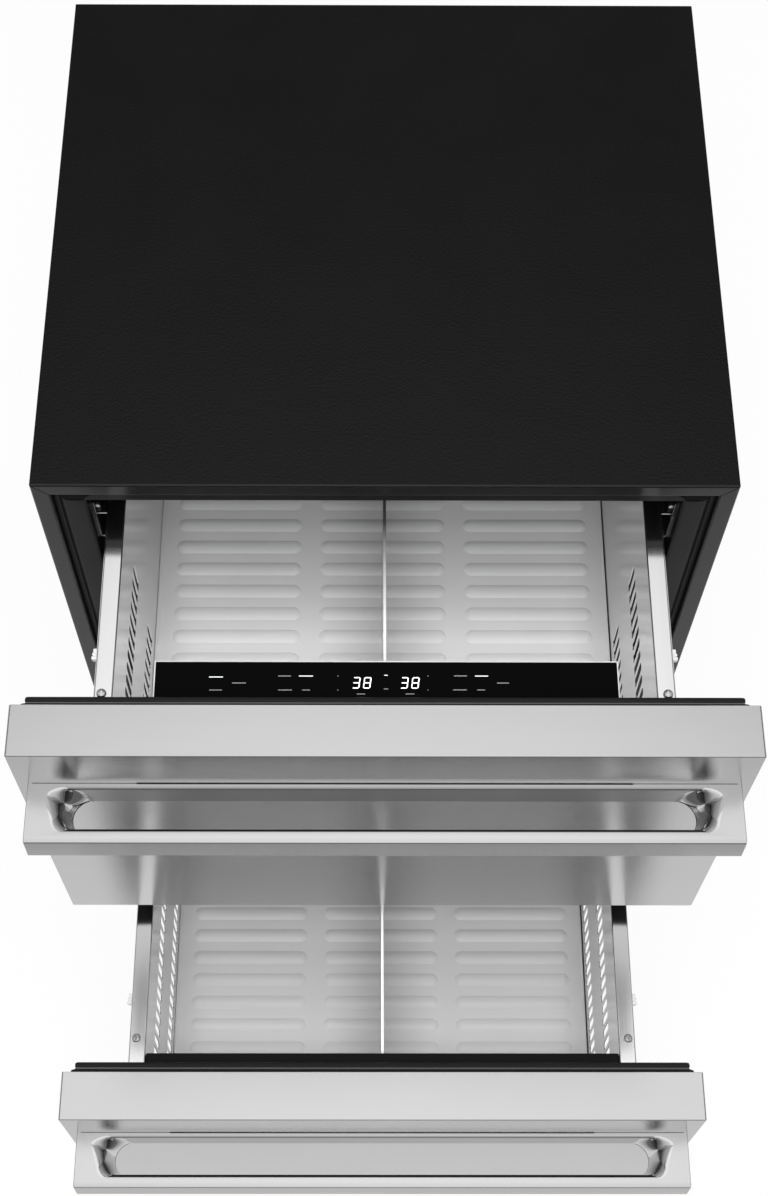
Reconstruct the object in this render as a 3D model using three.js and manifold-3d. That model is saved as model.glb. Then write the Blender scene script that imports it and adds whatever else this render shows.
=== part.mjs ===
// Two-drawer undercounter refrigerator, both drawers standing open as in the photograph.
// Millimetres. +Z up, +X to the right seen from the front, +Y to the back.
// The cabinet's front plane is y = 0 and the floor is z = 0 while the pieces are made;
// the whole group is then moved so that the origin is the middle of the footprint.
import * as THREE from 'three';
import { mergeVertices } from 'three/addons/utils/BufferGeometryUtils.js';
import { ConvexGeometry } from 'three/addons/geometries/ConvexGeometry.js';
import Module from 'manifold-3d';

// ---- cabinet
const CAB_W = 604;            // width over the painted shell
const CAB_D = 549;            // shell front plane to rear panel
const CAB_H = 876;            // floor to cabinet top, legs screwed in
const SHEET = 1.5;            // painted sheet
const BASE_Z = 14;            // underside of the base pan
const TOE_H = 97;             // toe space height
const TOE_D = 57;             // toe space depth
const FLANGE_TOP = 16;        // height of the front fold under the top
const FLANGE_SIDE = 16;       // width of the front fold on the sides
const SIDE_WALL = 45;         // shell side to the openings
const TOP_WALL = 19.3;        // cabinet top to the upper opening
const REAR_WALL = 60;         // back of the cavities to the back of the shell
const SILL_Z = 185;           // floor to the lower opening
const SILL_FOAM = 22;         // insulation under the lower opening
const OPEN_R = 11;            // opening corner radius
const LINER_T = 2;            // liner wall
const PAN_T = 2;              // base pan sheet
const FIT = 0.3;              // clearance between pieces made apart

// ---- drawer fronts
const FRONT_PROUD = 1;        // each side of a front beyond the cabinet side
const FRONT_T = 45;
const FRONT_SKIN = 1.2;
const TOP_GAP = 10;           // cabinet top to the top of the upper front
const FRONT_GAP = 7;          // between the two fronts
const LAP = 18;               // front over the edge of its opening
const FACE_U = -243;          // front face of the upper front at rest
const FACE_L = -449;          // front face of the lower front at rest
const GASKET_D = 11.7;        // gasket depth behind the front

// ---- handles
const GRIP_DROP = 58;         // handle top below the top of the front
const GRIP_INSET = 9.5;       // handle end from the side of the front
const GRIP_REACH = 53;
const GRIP_H = 28;

// ---- drawer boxes
const SLIDE_W = 29;           // side of the opening to the inside of the box
const RIM_GAP = 12.7;         // side of the opening to the rim
const BOX_SHEET = 1.2;
const BOX_BACK_GAP = 26;      // back of the closed box to the evaporator cover
const RIM_DROP_U = 52;        // rim below the top of the upper front
const RIM_DROP_L = 25;        // rim below the top of the lower front
const FLOOR_GAP = 16;         // tray surface above the bottom of the lower opening
const WALL_BASE = 4.2;        // box wall below the tray surface
const SLOT_TOP = 71;          // upper slot row below the rim
const SLOT_BOTTOM = 22;       // lower slot row above the tray surface
const SLOT_H = 40;
const SLOT_FIRST = 32.4;      // first slot behind the front
const SLOT_PITCH = 12.2;
const SLOT_W = 5;
const SLOTS_U = 14;
const SLOTS_L = 20;
const RIB_COLUMNS = 3;        // raised ribs of the tray
const RIB_EDGE = 19.15;       // side of the tray to the ribs
const RIB_GAP = 17.5;         // between the columns
const RIB_W = 13;
const RIB_H = 1.3;
const RIB_PITCH = 25.6;
const RIB_FIRST_U = 57.6;     // first rib behind the front
const RIB_FIRST_L = 38.2;
const RIB_LAST = 19.5;        // last rib to the back of the box, at least
const SCREW_U = 33;           // rim screws behind the front
const SCREW_L = 38;

// ---- cold side
const EVAP_D = 65;            // depth of the evaporator cover
const EVAP_FAN_DROP = 96.7;   // fan axis below the top of the upper opening
const EVAP_FAN_HOLE = 56;

// ---- what follows from these
const W2 = CAB_W / 2;
const OPEN_X = W2 - SIDE_WALL;                                   // half width of both openings
const CAV_Y = CAB_D - REAR_WALL;                                 // back of both cavities
const FRONT_W = CAB_W + 2 * FRONT_PROUD;
const FRONT_H = (CAB_H - TOP_GAP - FRONT_GAP - TOE_H) / 2;
const TOP_U = CAB_H - TOP_GAP;                                   // top of the upper front
const TOP_L = TOP_U - FRONT_H - FRONT_GAP;                       // top of the lower front
const OPEN_U = [TOP_U - FRONT_H + LAP, CAB_H - TOP_WALL];        // upper opening, bottom and top
const OPEN_L = [SILL_Z, TOP_L - LAP];                            // lower opening, bottom and top
const PAN_Z = BASE_Z + PAN_T;                                    // floor of the machine space
const GRIP_W = FRONT_W - 2 * GRIP_INSET;
const BOX_X = OPEN_X - SLIDE_W;                                  // inner half width of the boxes
const RIM_X = OPEN_X - RIM_GAP;                                  // half width over the rims
const CLOSED_Y = -GASKET_D - FIT;                                // back of a closed front
const BOX_END = CAV_Y - EVAP_D - BOX_BACK_GAP - CLOSED_Y;        // back of the box behind the front
const TRAY_DROP = TOP_L - RIM_DROP_L - SILL_Z - FLOOR_GAP;       // tray surface below the rim
const TRAY_X = BOX_X - 1.6;

const wasm = await Module();
wasm.setup();
const group = new THREE.Group();
group.name = 'undercounter_drawer_refrigerator';

const finish = (color, metalness, roughness, more = {}) =>
  new THREE.MeshStandardMaterial({ color, metalness, roughness, ...more });
const BLACK_PAINT = () => finish(0x1d1d1e, 0.2, 0.45);
const GREY_FRAME = () => finish(0x2b2b2c, 0.1, 0.5);
const STAINLESS = () => finish(0xb9bbbd, 1, 0.28);
const SATIN_STEEL = () => finish(0xc4c6c8, 1, 0.38);
const GALVANISED = () => finish(0x9ea3a6, 1, 0.5);
const ZINC = () => finish(0xa8adb0, 1, 0.35);
const COPPER = () => finish(0xb46a3c, 1, 0.4);
const BLACK_PLASTIC = () => finish(0x0e0e0f, 0, 0.5);
const RUBBER = () => finish(0x121212, 0, 0.7);
const LINER = () => finish(0x26282a, 0, 0.45);
const FOAM = () => finish(0xe6d9a8, 0, 0.95);
const ALUMINIUM = () => finish(0xc9cccf, 1, 0.4);
const LIGHT_GREY = () => finish(0xd9dbdc, 0.6, 0.35);
const CLEAR = () => finish(0xf2f6f7, 0, 0.05, { transparent: true, opacity: 0.35 });
const GLASS_BLACK = () => finish(0x050506, 0, 0.08);
const LENS = () => finish(0xf3f3ef, 0, 0.5);

// ---------------------------------------------------------------- helpers
function solid(geometry) {
  let g = geometry.clone();
  g.deleteAttribute('normal');
  g.deleteAttribute('uv');
  g = mergeVertices(g, 1e-4);
  const index = g.index ? Uint32Array.from(g.index.array)
    : Uint32Array.from({ length: g.attributes.position.count }, (_, i) => i);
  const points = Float32Array.from(g.attributes.position.array);
  return new wasm.Manifold(new wasm.Mesh({ numProp: 3, vertProperties: points, triVerts: index }));
}
function box(x0, x1, y0, y1, z0, z1) {
  const g = new THREE.BoxGeometry(x1 - x0, y1 - y0, z1 - z0);
  g.translate((x0 + x1) / 2, (y0 + y1) / 2, (z0 + z1) / 2);
  return solid(g);
}
// box with all twelve edges cut back by c
function softBox(x0, x1, y0, y1, z0, z1, c) {
  const points = [];
  for (const [x, sx] of [[x0, c], [x1, -c]]) {
    for (const [y, sy] of [[y0, c], [y1, -c]]) {
      for (const [z, sz] of [[z0, c], [z1, -c]]) {
        points.push(new THREE.Vector3(x, y + sy, z + sz));
        points.push(new THREE.Vector3(x + sx, y, z + sz));
        points.push(new THREE.Vector3(x + sx, y + sy, z));
      }
    }
  }
  return solid(new ConvexGeometry(points));
}
const turn = {
  x: new THREE.Matrix4().set(0, 0, 1, 0, 1, 0, 0, 0, 0, 1, 0, 0, 0, 0, 0, 1),
  y: new THREE.Matrix4().set(1, 0, 0, 0, 0, 0, -1, 0, 0, 1, 0, 0, 0, 0, 0, 1),
  z: new THREE.Matrix4(),
};
// outline along an axis: (y,z) points for x, (x,z) points for y, (x,y) points for z
function prism(outline, axis, a, b, segments = 6) {
  const shape = outline instanceof THREE.Shape ? outline
    : new THREE.Shape(outline.map(([u, v]) => new THREE.Vector2(u, v)));
  const g = new THREE.ExtrudeGeometry(shape,
    { depth: b - a, bevelEnabled: false, curveSegments: segments });
  g.applyMatrix4(turn[axis]);
  if (axis === 'x') g.translate(a, 0, 0);
  if (axis === 'y') g.translate(0, b, 0);
  if (axis === 'z') g.translate(0, 0, a);
  return solid(g);
}
function roundRect(u0, u1, v0, v1, r) {
  const s = new THREE.Shape();
  s.moveTo(u0 + r, v0);
  s.lineTo(u1 - r, v0);
  s.absarc(u1 - r, v0 + r, r, -Math.PI / 2, 0, false);
  s.lineTo(u1, v1 - r);
  s.absarc(u1 - r, v1 - r, r, 0, Math.PI / 2, false);
  s.lineTo(u0 + r, v1);
  s.absarc(u0 + r, v1 - r, r, Math.PI / 2, Math.PI, false);
  s.lineTo(u0, v0 + r);
  s.absarc(u0 + r, v0 + r, r, Math.PI, Math.PI * 1.5, false);
  return s;
}
// turned piece: [radius, height] points about an axis through (x, y, z)
function lathe(points, axis, x, y, z, segments = 20) {
  const g = new THREE.LatheGeometry(points.map(([r, h]) => new THREE.Vector2(r, h)), segments);
  if (axis === 'z') g.rotateX(Math.PI / 2);
  if (axis === 'x') g.rotateZ(-Math.PI / 2);
  g.translate(x, y, z);
  return solid(g);
}
const rod = (r, a, b, axis, x, y, z, segments = 20) =>
  lathe([[0, a], [r, a], [r, b], [0, b]], axis, x, y, z, segments);
function join(list) {
  return list.reduce((a, b) => wasm.Manifold.union(a, b));
}
function cut(a, list) {
  return [a].concat(list).reduce((rest, b) => wasm.Manifold.difference(rest, b));
}
const both = (f) => [f(-1), f(1)];
const span = (s, a, b) => (s > 0 ? [a, b] : [-b, -a]);
const count = (n, f) => Array.from({ length: n }, (_, i) => f(i));

let parent = group;
// what make() adds is placed in a group of its own at (x, y, z)
function place(x, y, z, make) {
  const outer = parent;
  parent = new THREE.Group();
  parent.position.set(x, y, z);
  outer.add(parent);
  make();
  parent = outer;
}
function add(name, m, material) {
  const mesh = m.getMesh();
  const g = new THREE.BufferGeometry();
  g.setAttribute('position', new THREE.BufferAttribute(Float32Array.from(mesh.vertProperties), 3));
  g.setIndex(new THREE.BufferAttribute(Uint32Array.from(mesh.triVerts), 1));
  g.computeVertexNormals();
  const node = new THREE.Mesh(g, material());
  node.name = name;
  parent.add(node);
}

// ---------------------------------------------------------------- cabinet
const FOAM_Z = SILL_Z - SILL_FOAM;      // underside of the insulation
const LINER_Y = 8;                      // front edge of the liners
const LEG_X = W2 - 34;
const LEG_FRONT_Y = TOE_D + 31;
const LEG_REAR_Y = CAB_D - 37;
const STUD_R = 5;

function cabinetShell() {
  const under = CAB_H - 0.4;
  const side = (s) => prism([[0, TOE_H], [TOE_D, TOE_H], [TOE_D, BASE_Z], [CAB_D, BASE_Z],
    [CAB_D, under], [0, under]], 'x', ...span(s, W2 - SHEET, W2));
  const fold = (s) => box(...span(s, W2 - FLANGE_SIDE, W2), 0, SHEET, TOE_H, under);
  const rearFold = (s) => box(...span(s, W2 - 14, W2), CAB_D - SHEET, CAB_D, SILL_Z + 5, CAB_H - 1);
  const shell = join([
    ...both(side), ...both(fold), ...both(rearFold),
    box(-W2, W2, 0, CAB_D, CAB_H - SHEET, CAB_H),
    box(-W2, W2, 0, SHEET, CAB_H - FLANGE_TOP, CAB_H),
  ]);
  // rolled front edge of the top and softened long edges
  add('cabinet_shell', cut(shell, [
    prism([[-1, CAB_H - 1.1], [1.1, CAB_H + 1], [-1, CAB_H + 1]], 'x', -W2 - 1, W2 + 1),
    prism([[-W2 - 1, CAB_H - 0.9], [-W2 + 0.9, CAB_H + 1], [-W2 - 1, CAB_H + 1]], 'y', -1, CAB_D + 1),
    prism([[W2 + 1, CAB_H - 0.9], [W2 + 1, CAB_H + 1], [W2 - 0.9, CAB_H + 1]], 'y', -1, CAB_D + 1),
  ]), BLACK_PAINT);
}
function rearPanel() {
  const x = W2 - SHEET - 0.5, y = CAB_D - SHEET;
  const vents = count(9, (i) => both((s) =>
    box(...span(s, 30, W2 - 62), y - 5, y + 5, BASE_Z + 26 + i * 12, BASE_Z + 31 + i * 12))).flat();
  add('rear_panel', cut(box(-x, x, y - 1.5, y - FIT, BASE_Z + 4, CAB_H - SHEET - 0.7), vents), GALVANISED);
}
function basePan() {
  const x = W2 - SHEET - 0.4, y0 = TOE_D + 9, y1 = CAB_D - SHEET - 2, z1 = BASE_Z + 14, t = 1.5;
  const holes = both((s) => [LEG_FRONT_Y, LEG_REAR_Y].map((y) =>
    rod(STUD_R + 0.8, -6, 6, 'z', s * LEG_X, y, BASE_Z, 16))).flat();
  add('base_pan', cut(join([
    box(-x, x, y0, y1, BASE_Z, PAN_Z),
    box(-x, x, y0, y0 + t, BASE_Z, z1),
    box(-x, x, y1 - t, y1, BASE_Z, z1),
    ...both((s) => box(...span(s, x - t, x), y0, y1, BASE_Z, z1)),
  ]), holes), GALVANISED);
}
function insulation() {
  const x = W2 - SHEET - FIT, gap = LINER_T + FIT;
  const foam = box(-x, x, LINER_Y, CAB_D - SHEET - 1.8, FOAM_Z, CAB_H - SHEET - FIT);
  add('cabinet_insulation', cut(foam, [OPEN_U, OPEN_L].map(([low, high]) =>
    box(-OPEN_X - gap, OPEN_X + gap, 0, CAV_Y + gap, low - gap, high + gap))), FOAM);
}
function liner(name, [low, high]) {
  const t = LINER_T;
  const outer = roundRect(-OPEN_X - t, OPEN_X + t, low - t, high + t, OPEN_R + t);
  const inner = roundRect(-OPEN_X, OPEN_X, low, high, OPEN_R);
  add(name, cut(prism(outer, 'y', LINER_Y, CAV_Y + t, 3), prism(inner, 'y', 0, CAV_Y, 3)), LINER);
}
function frontFrame() {
  const x = W2 - FLANGE_SIDE - 3, y0 = SHEET + FIT;
  const plates = join([
    box(-x, x, y0, LINER_Y - 0.4, TOE_H, CAB_H - FLANGE_TOP - 1.5),
    box(-x, x, y0, TOE_D + 8.6, TOE_H, TOE_H + 1.5),
  ]);
  add('front_frame', cut(plates, [OPEN_U, OPEN_L].map(([low, high]) =>
    prism(roundRect(-OPEN_X, OPEN_X, low, high, OPEN_R), 'y', -5, LINER_Y + 4, 5))), GREY_FRAME);
}
function toeGrille() {
  const z0 = BASE_Z + 3, slots = 5, pitch = (TOE_H - z0 - 17.5) / slots;
  const cuts = count(slots, (i) => both((s) => box(...span(s, 6, W2 - 32), TOE_D - 7, TOE_D + 13,
    z0 + 11 + i * pitch, z0 + 17 + i * pitch))).flat();
  const plate = softBox(-W2 + 2, W2 - 2, TOE_D + 1, TOE_D + 6, z0, TOE_H - 1, 1);
  add('toe_grille', cut(plate, cuts), BLACK_PLASTIC);
}
function leg(name, s, y) {
  add(name, lathe([[0, 0], [16.5, 0], [18, 1.5], [18, 4.5], [8, 9.5], [8, BASE_Z - 0.6],
    [STUD_R, BASE_Z - 0.6], [STUD_R, BASE_Z + 37], [0, BASE_Z + 37]], 'z', s * LEG_X, y, 0, 14), ZINC);
}
cabinetShell();
rearPanel();
basePan();
insulation();
liner('upper_liner', OPEN_U);
liner('lower_liner', OPEN_L);
frontFrame();
toeGrille();
leg('leg_front_left', -1, LEG_FRONT_Y);
leg('leg_front_right', 1, LEG_FRONT_Y);
leg('leg_rear_left', -1, LEG_REAR_Y);
leg('leg_rear_right', 1, LEG_REAR_Y);

// ---------------------------------------------------------------- fans
const SHAFT_R = 2.8;
const BORE_R = 3.3;
// blade wheel about the y axis through the origin of its group
function fanBlade(name, r, hub, depth, blades) {
  const list = [cut(rod(hub, -depth / 2, depth / 2, 'y', 0, 0, 0, 16),
    rod(BORE_R, -depth * 0.2, depth, 'y', 0, 0, 0, 10))];
  const length = r - hub + 3;
  for (let i = 0; i < blades; i++) {
    const g = new THREE.BoxGeometry(r * 0.52, 1.8, length, 3, 1, 1);
    const p = g.attributes.position;
    for (let k = 0; k < p.count; k++) {
      const x = p.getX(k), t = p.getZ(k) / length + 0.5;
      p.setX(k, x * (0.55 + 0.6 * t));                               // wider towards the tip
      p.setY(k, p.getY(k) + (1 - (x / (r * 0.26)) ** 2) * 1.6);      // cupped
    }
    g.rotateZ(0.42);
    g.translate(0, 0, (hub + r) / 2 - 0.75);
    g.rotateY(i * Math.PI * 2 / blades);
    list.push(solid(g));
  }
  add(name, join(list), BLACK_PLASTIC);
}

// ---------------------------------------------------------------- cold side
const EVAP_X = OPEN_X - 11;                    // half width of the cover
const EVAP_Y = CAV_Y - EVAP_D;                 // face of the cover
const EVAP_Z = OPEN_U[0] + 9;
const EVAP_TOP = OPEN_U[1] - 10.7;
const EVAP_FAN_Z = OPEN_U[1] - EVAP_FAN_DROP;
const COVER_T = 3;
const COIL_X = OPEN_X - 66;
const COIL_Y = CAV_Y - 33;                     // middle of the coil
const EVAP_FAN_MOTOR_Y = CAV_Y - 18;

function evaporatorCover() {
  const t = COVER_T, r = EVAP_FAN_HOLE;
  const outer = cut(softBox(-EVAP_X, EVAP_X, EVAP_Y, CAV_Y + 8, EVAP_Z, EVAP_TOP, 5),
    box(-EVAP_X - 9, EVAP_X + 9, CAV_Y, CAV_Y + 20, EVAP_Z - 9, EVAP_TOP + 9));
  const inner = box(-EVAP_X + t, EVAP_X - t, EVAP_Y + t, CAV_Y + 9, EVAP_Z + t, EVAP_TOP - t);
  const louvres = count(7, (i) =>
    box(-EVAP_X + 56, EVAP_X - 56, EVAP_Y - 9, EVAP_Y + 11, EVAP_Z + 20 + i * 13, EVAP_Z + 26 + i * 13));
  const bars = [
    box(-r - 0.5, r + 0.5, EVAP_Y + 0.4, EVAP_Y + t, EVAP_FAN_Z - 2.5, EVAP_FAN_Z + 2.5),
    box(-2.5, 2.5, EVAP_Y + 0.4, EVAP_Y + t, EVAP_FAN_Z - r - 0.5, EVAP_FAN_Z + r + 0.5),
  ];
  const hole = rod(r, -10, 10, 'y', 0, EVAP_Y + 1, EVAP_FAN_Z, 24);
  add('evaporator_cover', join([cut(outer, [inner, hole, ...louvres]), ...bars]), LINER);
}
function evaporatorCoil() {
  const x = COIL_X, y = COIL_Y, z = EVAP_Z + 28, rows = 4, pitch = 28, fins = 12;
  const tubes = count(rows, (i) => rod(4.5, -x - 21, x + 21, 'x', 0, y, z + i * pitch, 8));
  // return bends join the tubes in turn, at one end and then at the other
  const bends = count(rows - 1, (i) => box(...span(i % 2 ? -1 : 1, x + 17, x + 25), y - 4, y + 4,
    z + i * pitch - 4, z + (i + 1) * pitch + 4));
  const plates = count(fins, (i) => {
    const at = -x + i * 2 * x / (fins - 1);
    return box(at - 0.6, at + 0.6, y - 18, y + 18, z - 12, z + 96);
  });
  const brackets = both((s) => box(...span(s, x - 71, x - 41), y + 14, CAV_Y, z + 20, z + 64));
  add('evaporator_coil', join([box(-x + 1, x - 1, y - 15.5, y + 15.5, z - 10, z + 94),
    ...plates, ...tubes, ...bends, ...brackets]), ALUMINIUM);
}
function evaporatorMotor() {
  const back = CAV_Y - EVAP_FAN_MOTOR_Y;
  add('evaporator_fan_motor', join([
    lathe([[0, -11], [19, -11], [21, -9], [21, 9], [19, 11], [0, 11]], 'y', 0, 0, 0, 18),
    rod(SHAFT_R, -24, -8, 'y', 0, 0, 0, 8),
    box(-70, 70, 9, 12, -8, 8),
    box(-12, 12, 11, back, -12, 12),
    ...both((s) => box(...span(s, 66, 70), -1, 12, -8, 8)),
  ]), ZINC);
}
evaporatorCover();
evaporatorCoil();
place(0, EVAP_FAN_MOTOR_Y, EVAP_FAN_Z, evaporatorMotor);
place(0, CAV_Y - 43, EVAP_FAN_Z, () => fanBlade('evaporator_fan_blade', 50, 14, 14, 5));
for (const [name, top] of [['upper_light', OPEN_U[1]], ['lower_light', OPEN_L[1]]]) {
  add(name, softBox(-120, 120, 20, 34, top - 5.2, top - 0.2, 1.2), LENS);
}

// ---------------------------------------------------------------- machine space under the lower cavity
// heights are above the base pan, and each piece is made about the middle of its own group
function condenserCoil() {
  const x = 102, fins = 12;
  const tubes = count(5, (i) => rod(4, -112, 112, 'x', 0, 0, 22 + i * 24, 8));
  const plates = count(fins, (i) => {
    const at = -x + i * 2 * x / (fins - 1);
    return box(at - 0.5, at + 0.5, -12, 12, 11, 128);
  });
  const ends = both((s) => box(...span(s, 112, 114), -14, 14, 0, 130));
  const core = box(-x + 1, x - 1, -9.8, 9.8, 13, 126);
  add('condenser_coil', join([core, ...plates, ...tubes, ...ends]), ALUMINIUM);
}
const CONDENSER_FAN_Z = 70;
function condenserMotor() {
  const z = CONDENSER_FAN_Z;
  const plate = cut(box(-72, 72, -44, -41, 4, 134), rod(60, -10, 10, 'y', 0, -43, z, 24));
  add('condenser_fan_motor', join([
    plate,
    lathe([[0, -17], [22, -17], [24, -14], [24, 14], [22, 17], [0, 17]], 'y', 0, 0, z, 18),
    rod(SHAFT_R, -31, -10, 'y', 0, 0, z, 8),
    box(-68, 68, 8, 11, z - 6, z + 6),
    ...both((s) => box(...span(s, 64, 68), -44, 11, z - 6, z + 6)),
    box(-72, 72, -44, -10, 0, 4),
  ]), GALVANISED);
}
function compressor() {
  const can = lathe([[0, -62], [46, -62], [64, -52], [71, -36], [72, -8], [74, -8], [74, -3], [72, -3],
    [71, 26], [63, 46], [46, 58], [0, 64]], 'z', 0, 0, 70, 20);
  const feet = both((sx) => both((sy) => join([
    rod(9, 0, 13, 'z', sx * 78, sy * 56, 0, 10),
    box(...span(sx, 0, 84), sy * 56 - 6, sy * 56 + 6, 9.6, 13.4),
  ]))).flat();
  const terminals = softBox(61, 87, -23, 23, 44, 88, 3);
  const tube = rod(4, -26, 26, 'x', -77, 0, 96, 10);
  add('compressor', join([can, ...feet, terminals, tube]), BLACK_PAINT);
}
function drainPan(width) {
  add('drain_pan', cut(softBox(-width, 0, -194, 0, 0, 26, 3),
    softBox(-width + 3, -3, -191, -3, 3, 36, 2)), BLACK_PLASTIC);
}
function filterDrier() {
  add('filter_drier', join([
    lathe([[0, -42], [2.6, -42], [2.6, -34], [9.5, -26], [9.5, 26], [2.6, 34], [2.6, 42], [0, 42]],
      'x', 0, 0, 44, 12),
    box(-3, 3, -2, 2, 0, 40),
  ]), COPPER);
}
function controlBoard() {
  const cover = softBox(-174, 0, -44, 44, 2, 80, 3);
  add('control_board_box', join([cover, box(-180, 6, -50, 50, 0, 2.6)]), LIGHT_GREY);
}
const COMPRESSOR_X = W2 - 127;
const CONDENSER_FAN_X = -W2 + 152;
const FAN_MOTOR_Y = TOE_D + 103;
place(-W2 + 160, TOE_D + 35, PAN_Z, condenserCoil);
place(CONDENSER_FAN_X, FAN_MOTOR_Y, PAN_Z, condenserMotor);
place(CONDENSER_FAN_X, FAN_MOTOR_Y - 29, PAN_Z + CONDENSER_FAN_Z,
  () => fanBlade('condenser_fan_blade', 56, 15, 16, 5));
place(COMPRESSOR_X, CAB_D - 204, PAN_Z, compressor);
place(COMPRESSOR_X - 115, CAB_D - 119, PAN_Z, () => drainPan(COMPRESSOR_X - 115 + W2 - 40));
place(COMPRESSOR_X - 155, CAB_D - 344, PAN_Z, filterDrier);
place(W2 - 18, TOE_D + 99, PAN_Z, controlBoard);

// ---------------------------------------------------------------- slides
const OPEN_BY_U = CLOSED_Y - FRONT_T - FACE_U;     // how far each drawer stands open at rest
const OPEN_BY_L = CLOSED_Y - FRONT_T - FACE_L;
const RAIL_DROP = 30;                              // slide axis below the rim
const RAIL_Y = 15;                                 // front end of the cabinet rails
const RAIL_L = EVAP_Y - 2 - RAIL_Y;

// three rails on each side; reach lifts the cabinet rail's web to its screws
function slides(prefix, rim, open, reach) {
  const c = rim - RAIL_DROP;
  for (const [tag, s] of [['left', -1], ['right', 1]]) {
    const plate = (x0, x1, y0, y1, z0, z1) => box(...span(s, x0, x1), y0, y1, z0, z1);
    const channel = (web, lip, half, y0, y1, lift) => join([
      plate(...web, y0, y1, c - half, c + half + lift),
      plate(...lip, y0, y1, c - half, c - half + 1.5),
      plate(...lip, y0, y1, c + half - 1.5, c + half),
    ]);
    const wall = OPEN_X - FIT;                     // outer face of the cabinet rail
    add(`${prefix}_cabinet_rail_${tag}`, join([
      channel([wall - 1.7, wall], [wall - 16.2, wall], 21, RAIL_Y, RAIL_Y + RAIL_L, reach),
      plate(wall - 10.7, wall - 1.2, RAIL_Y, RAIL_Y + 18, c + 8, c + 20 + reach),
    ]), ZINC);
    const y0 = RAIL_Y - open / 2, y1 = y0 + RAIL_L - 2;
    const middle = [wall - 24.7, wall - 13.7];
    const balls = (x0, x1, z0, z1) => [plate(x0, x1, y0 + 4, y1 - 4, c + z0, c + z1),
      plate(x0, x1, y0 + 4, y1 - 4, c - z1, c - z0)];
    add(`${prefix}_middle_rail_${tag}`, join([
      plate(wall - 19.7, wall - 18.2, y0, y1, c - 17, c + 17),
      plate(...middle, y0, y1, c - 17, c - 15.5),
      plate(...middle, y0, y1, c + 15.5, c + 17),
      ...balls(wall - 24.1, wall - 22.3, 13.2, 15.6),
      ...balls(wall - 15.9, wall - 13.9, 16.9, 19.3),
    ]), ZINC);
    const box0 = BOX_X + BOX_SHEET + FIT;          // inner face of the box rail
    add(`${prefix}_box_rail_${tag}`, channel([box0, box0 + 1.5], [box0, box0 + 5], 13,
      -2 - open, BOX_END + CLOSED_Y - 5 - open, 0), ZINC);
  }
}
slides('upper', TOP_U - RIM_DROP_U, OPEN_BY_U, 17);
slides('lower', TOP_L - RIM_DROP_L, OPEN_BY_L, 4.5);

// ---------------------------------------------------------------- drawers
// Each drawer is made about the top edge of its front's back face.
const HOLE_BACK = 4.8;         // finger opening behind the face of the front
const HOLE_FRONT = 11.7;       // and behind the front of the handle
const BEAM_FRONT = 8.3;
const BEAM_BACK = 23.8;
const SCREW_X = RIM_X - 6.8;

// scooped finger opening: rings from the handle's top face down to a rounded slot underneath
function fingerOpening(top) {
  const y0 = -FRONT_T - GRIP_REACH + HOLE_FRONT, y1 = -FRONT_T - HOLE_BACK;
  const fullR = (y1 - y0) / 2;
  // depth as a share of the handle's height, distance from the handle's end, share of the full corner radius
  const steps = [[-0.04, 16.5, 0.55], [0, 17.5, 0.55], [0.22, 23.5, 0.71], [0.48, 29, 0.85],
    [0.75, 33, 0.94], [1, 35, 0.985], [1.1, 35, 0.985]];
  const arcSteps = 6;
  const rings = steps.map(([depth, inset, share]) => {
    const hx = GRIP_W / 2 - inset, r = fullR * share, z = top - depth * GRIP_H;
    const corners = [[hx - r, y1 - r], [-hx + r, y1 - r], [-hx + r, y0 + r], [hx - r, y0 + r]];
    return corners.flatMap(([cx, cy], quarter) => count(arcSteps + 1, (k) => {
      const a = (quarter + k / arcSteps) * Math.PI / 2;
      return [cx + r * Math.cos(a), cy + r * Math.sin(a), z];
    }));
  });
  const n = rings[0].length, last = (rings.length - 1) * n;
  const index = [];
  for (let i = 0; i + 1 < rings.length; i++) {
    for (let k = 0; k < n; k++) {
      const a = i * n + k, b = i * n + (k + 1) % n;
      index.push(a, a + n, b, b, a + n, b + n);
    }
  }
  for (let k = 1; k + 1 < n; k++) index.push(0, k, k + 1, last, last + k + 1, last + k);
  const g = new THREE.BufferGeometry();
  g.setAttribute('position', new THREE.BufferAttribute(Float32Array.from(rings.flat(2)), 3));
  g.setIndex(index);
  return solid(g);
}
function handle(name) {
  const top = -GRIP_DROP, foot = top - GRIP_H, y = -FRONT_T, out = y - GRIP_REACH;
  const bar = prism([[y, top], [y, foot], [out + 1, foot], [out, foot + 1], [out, top - 4.2],
    [out + 0.8, top - 3.2], [out + 5.7, top - 0.6], [out + 9.6, top]], 'x', -GRIP_W / 2, GRIP_W / 2);
  add(name, cut(bar, fingerOpening(top)), STAINLESS);
}
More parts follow.
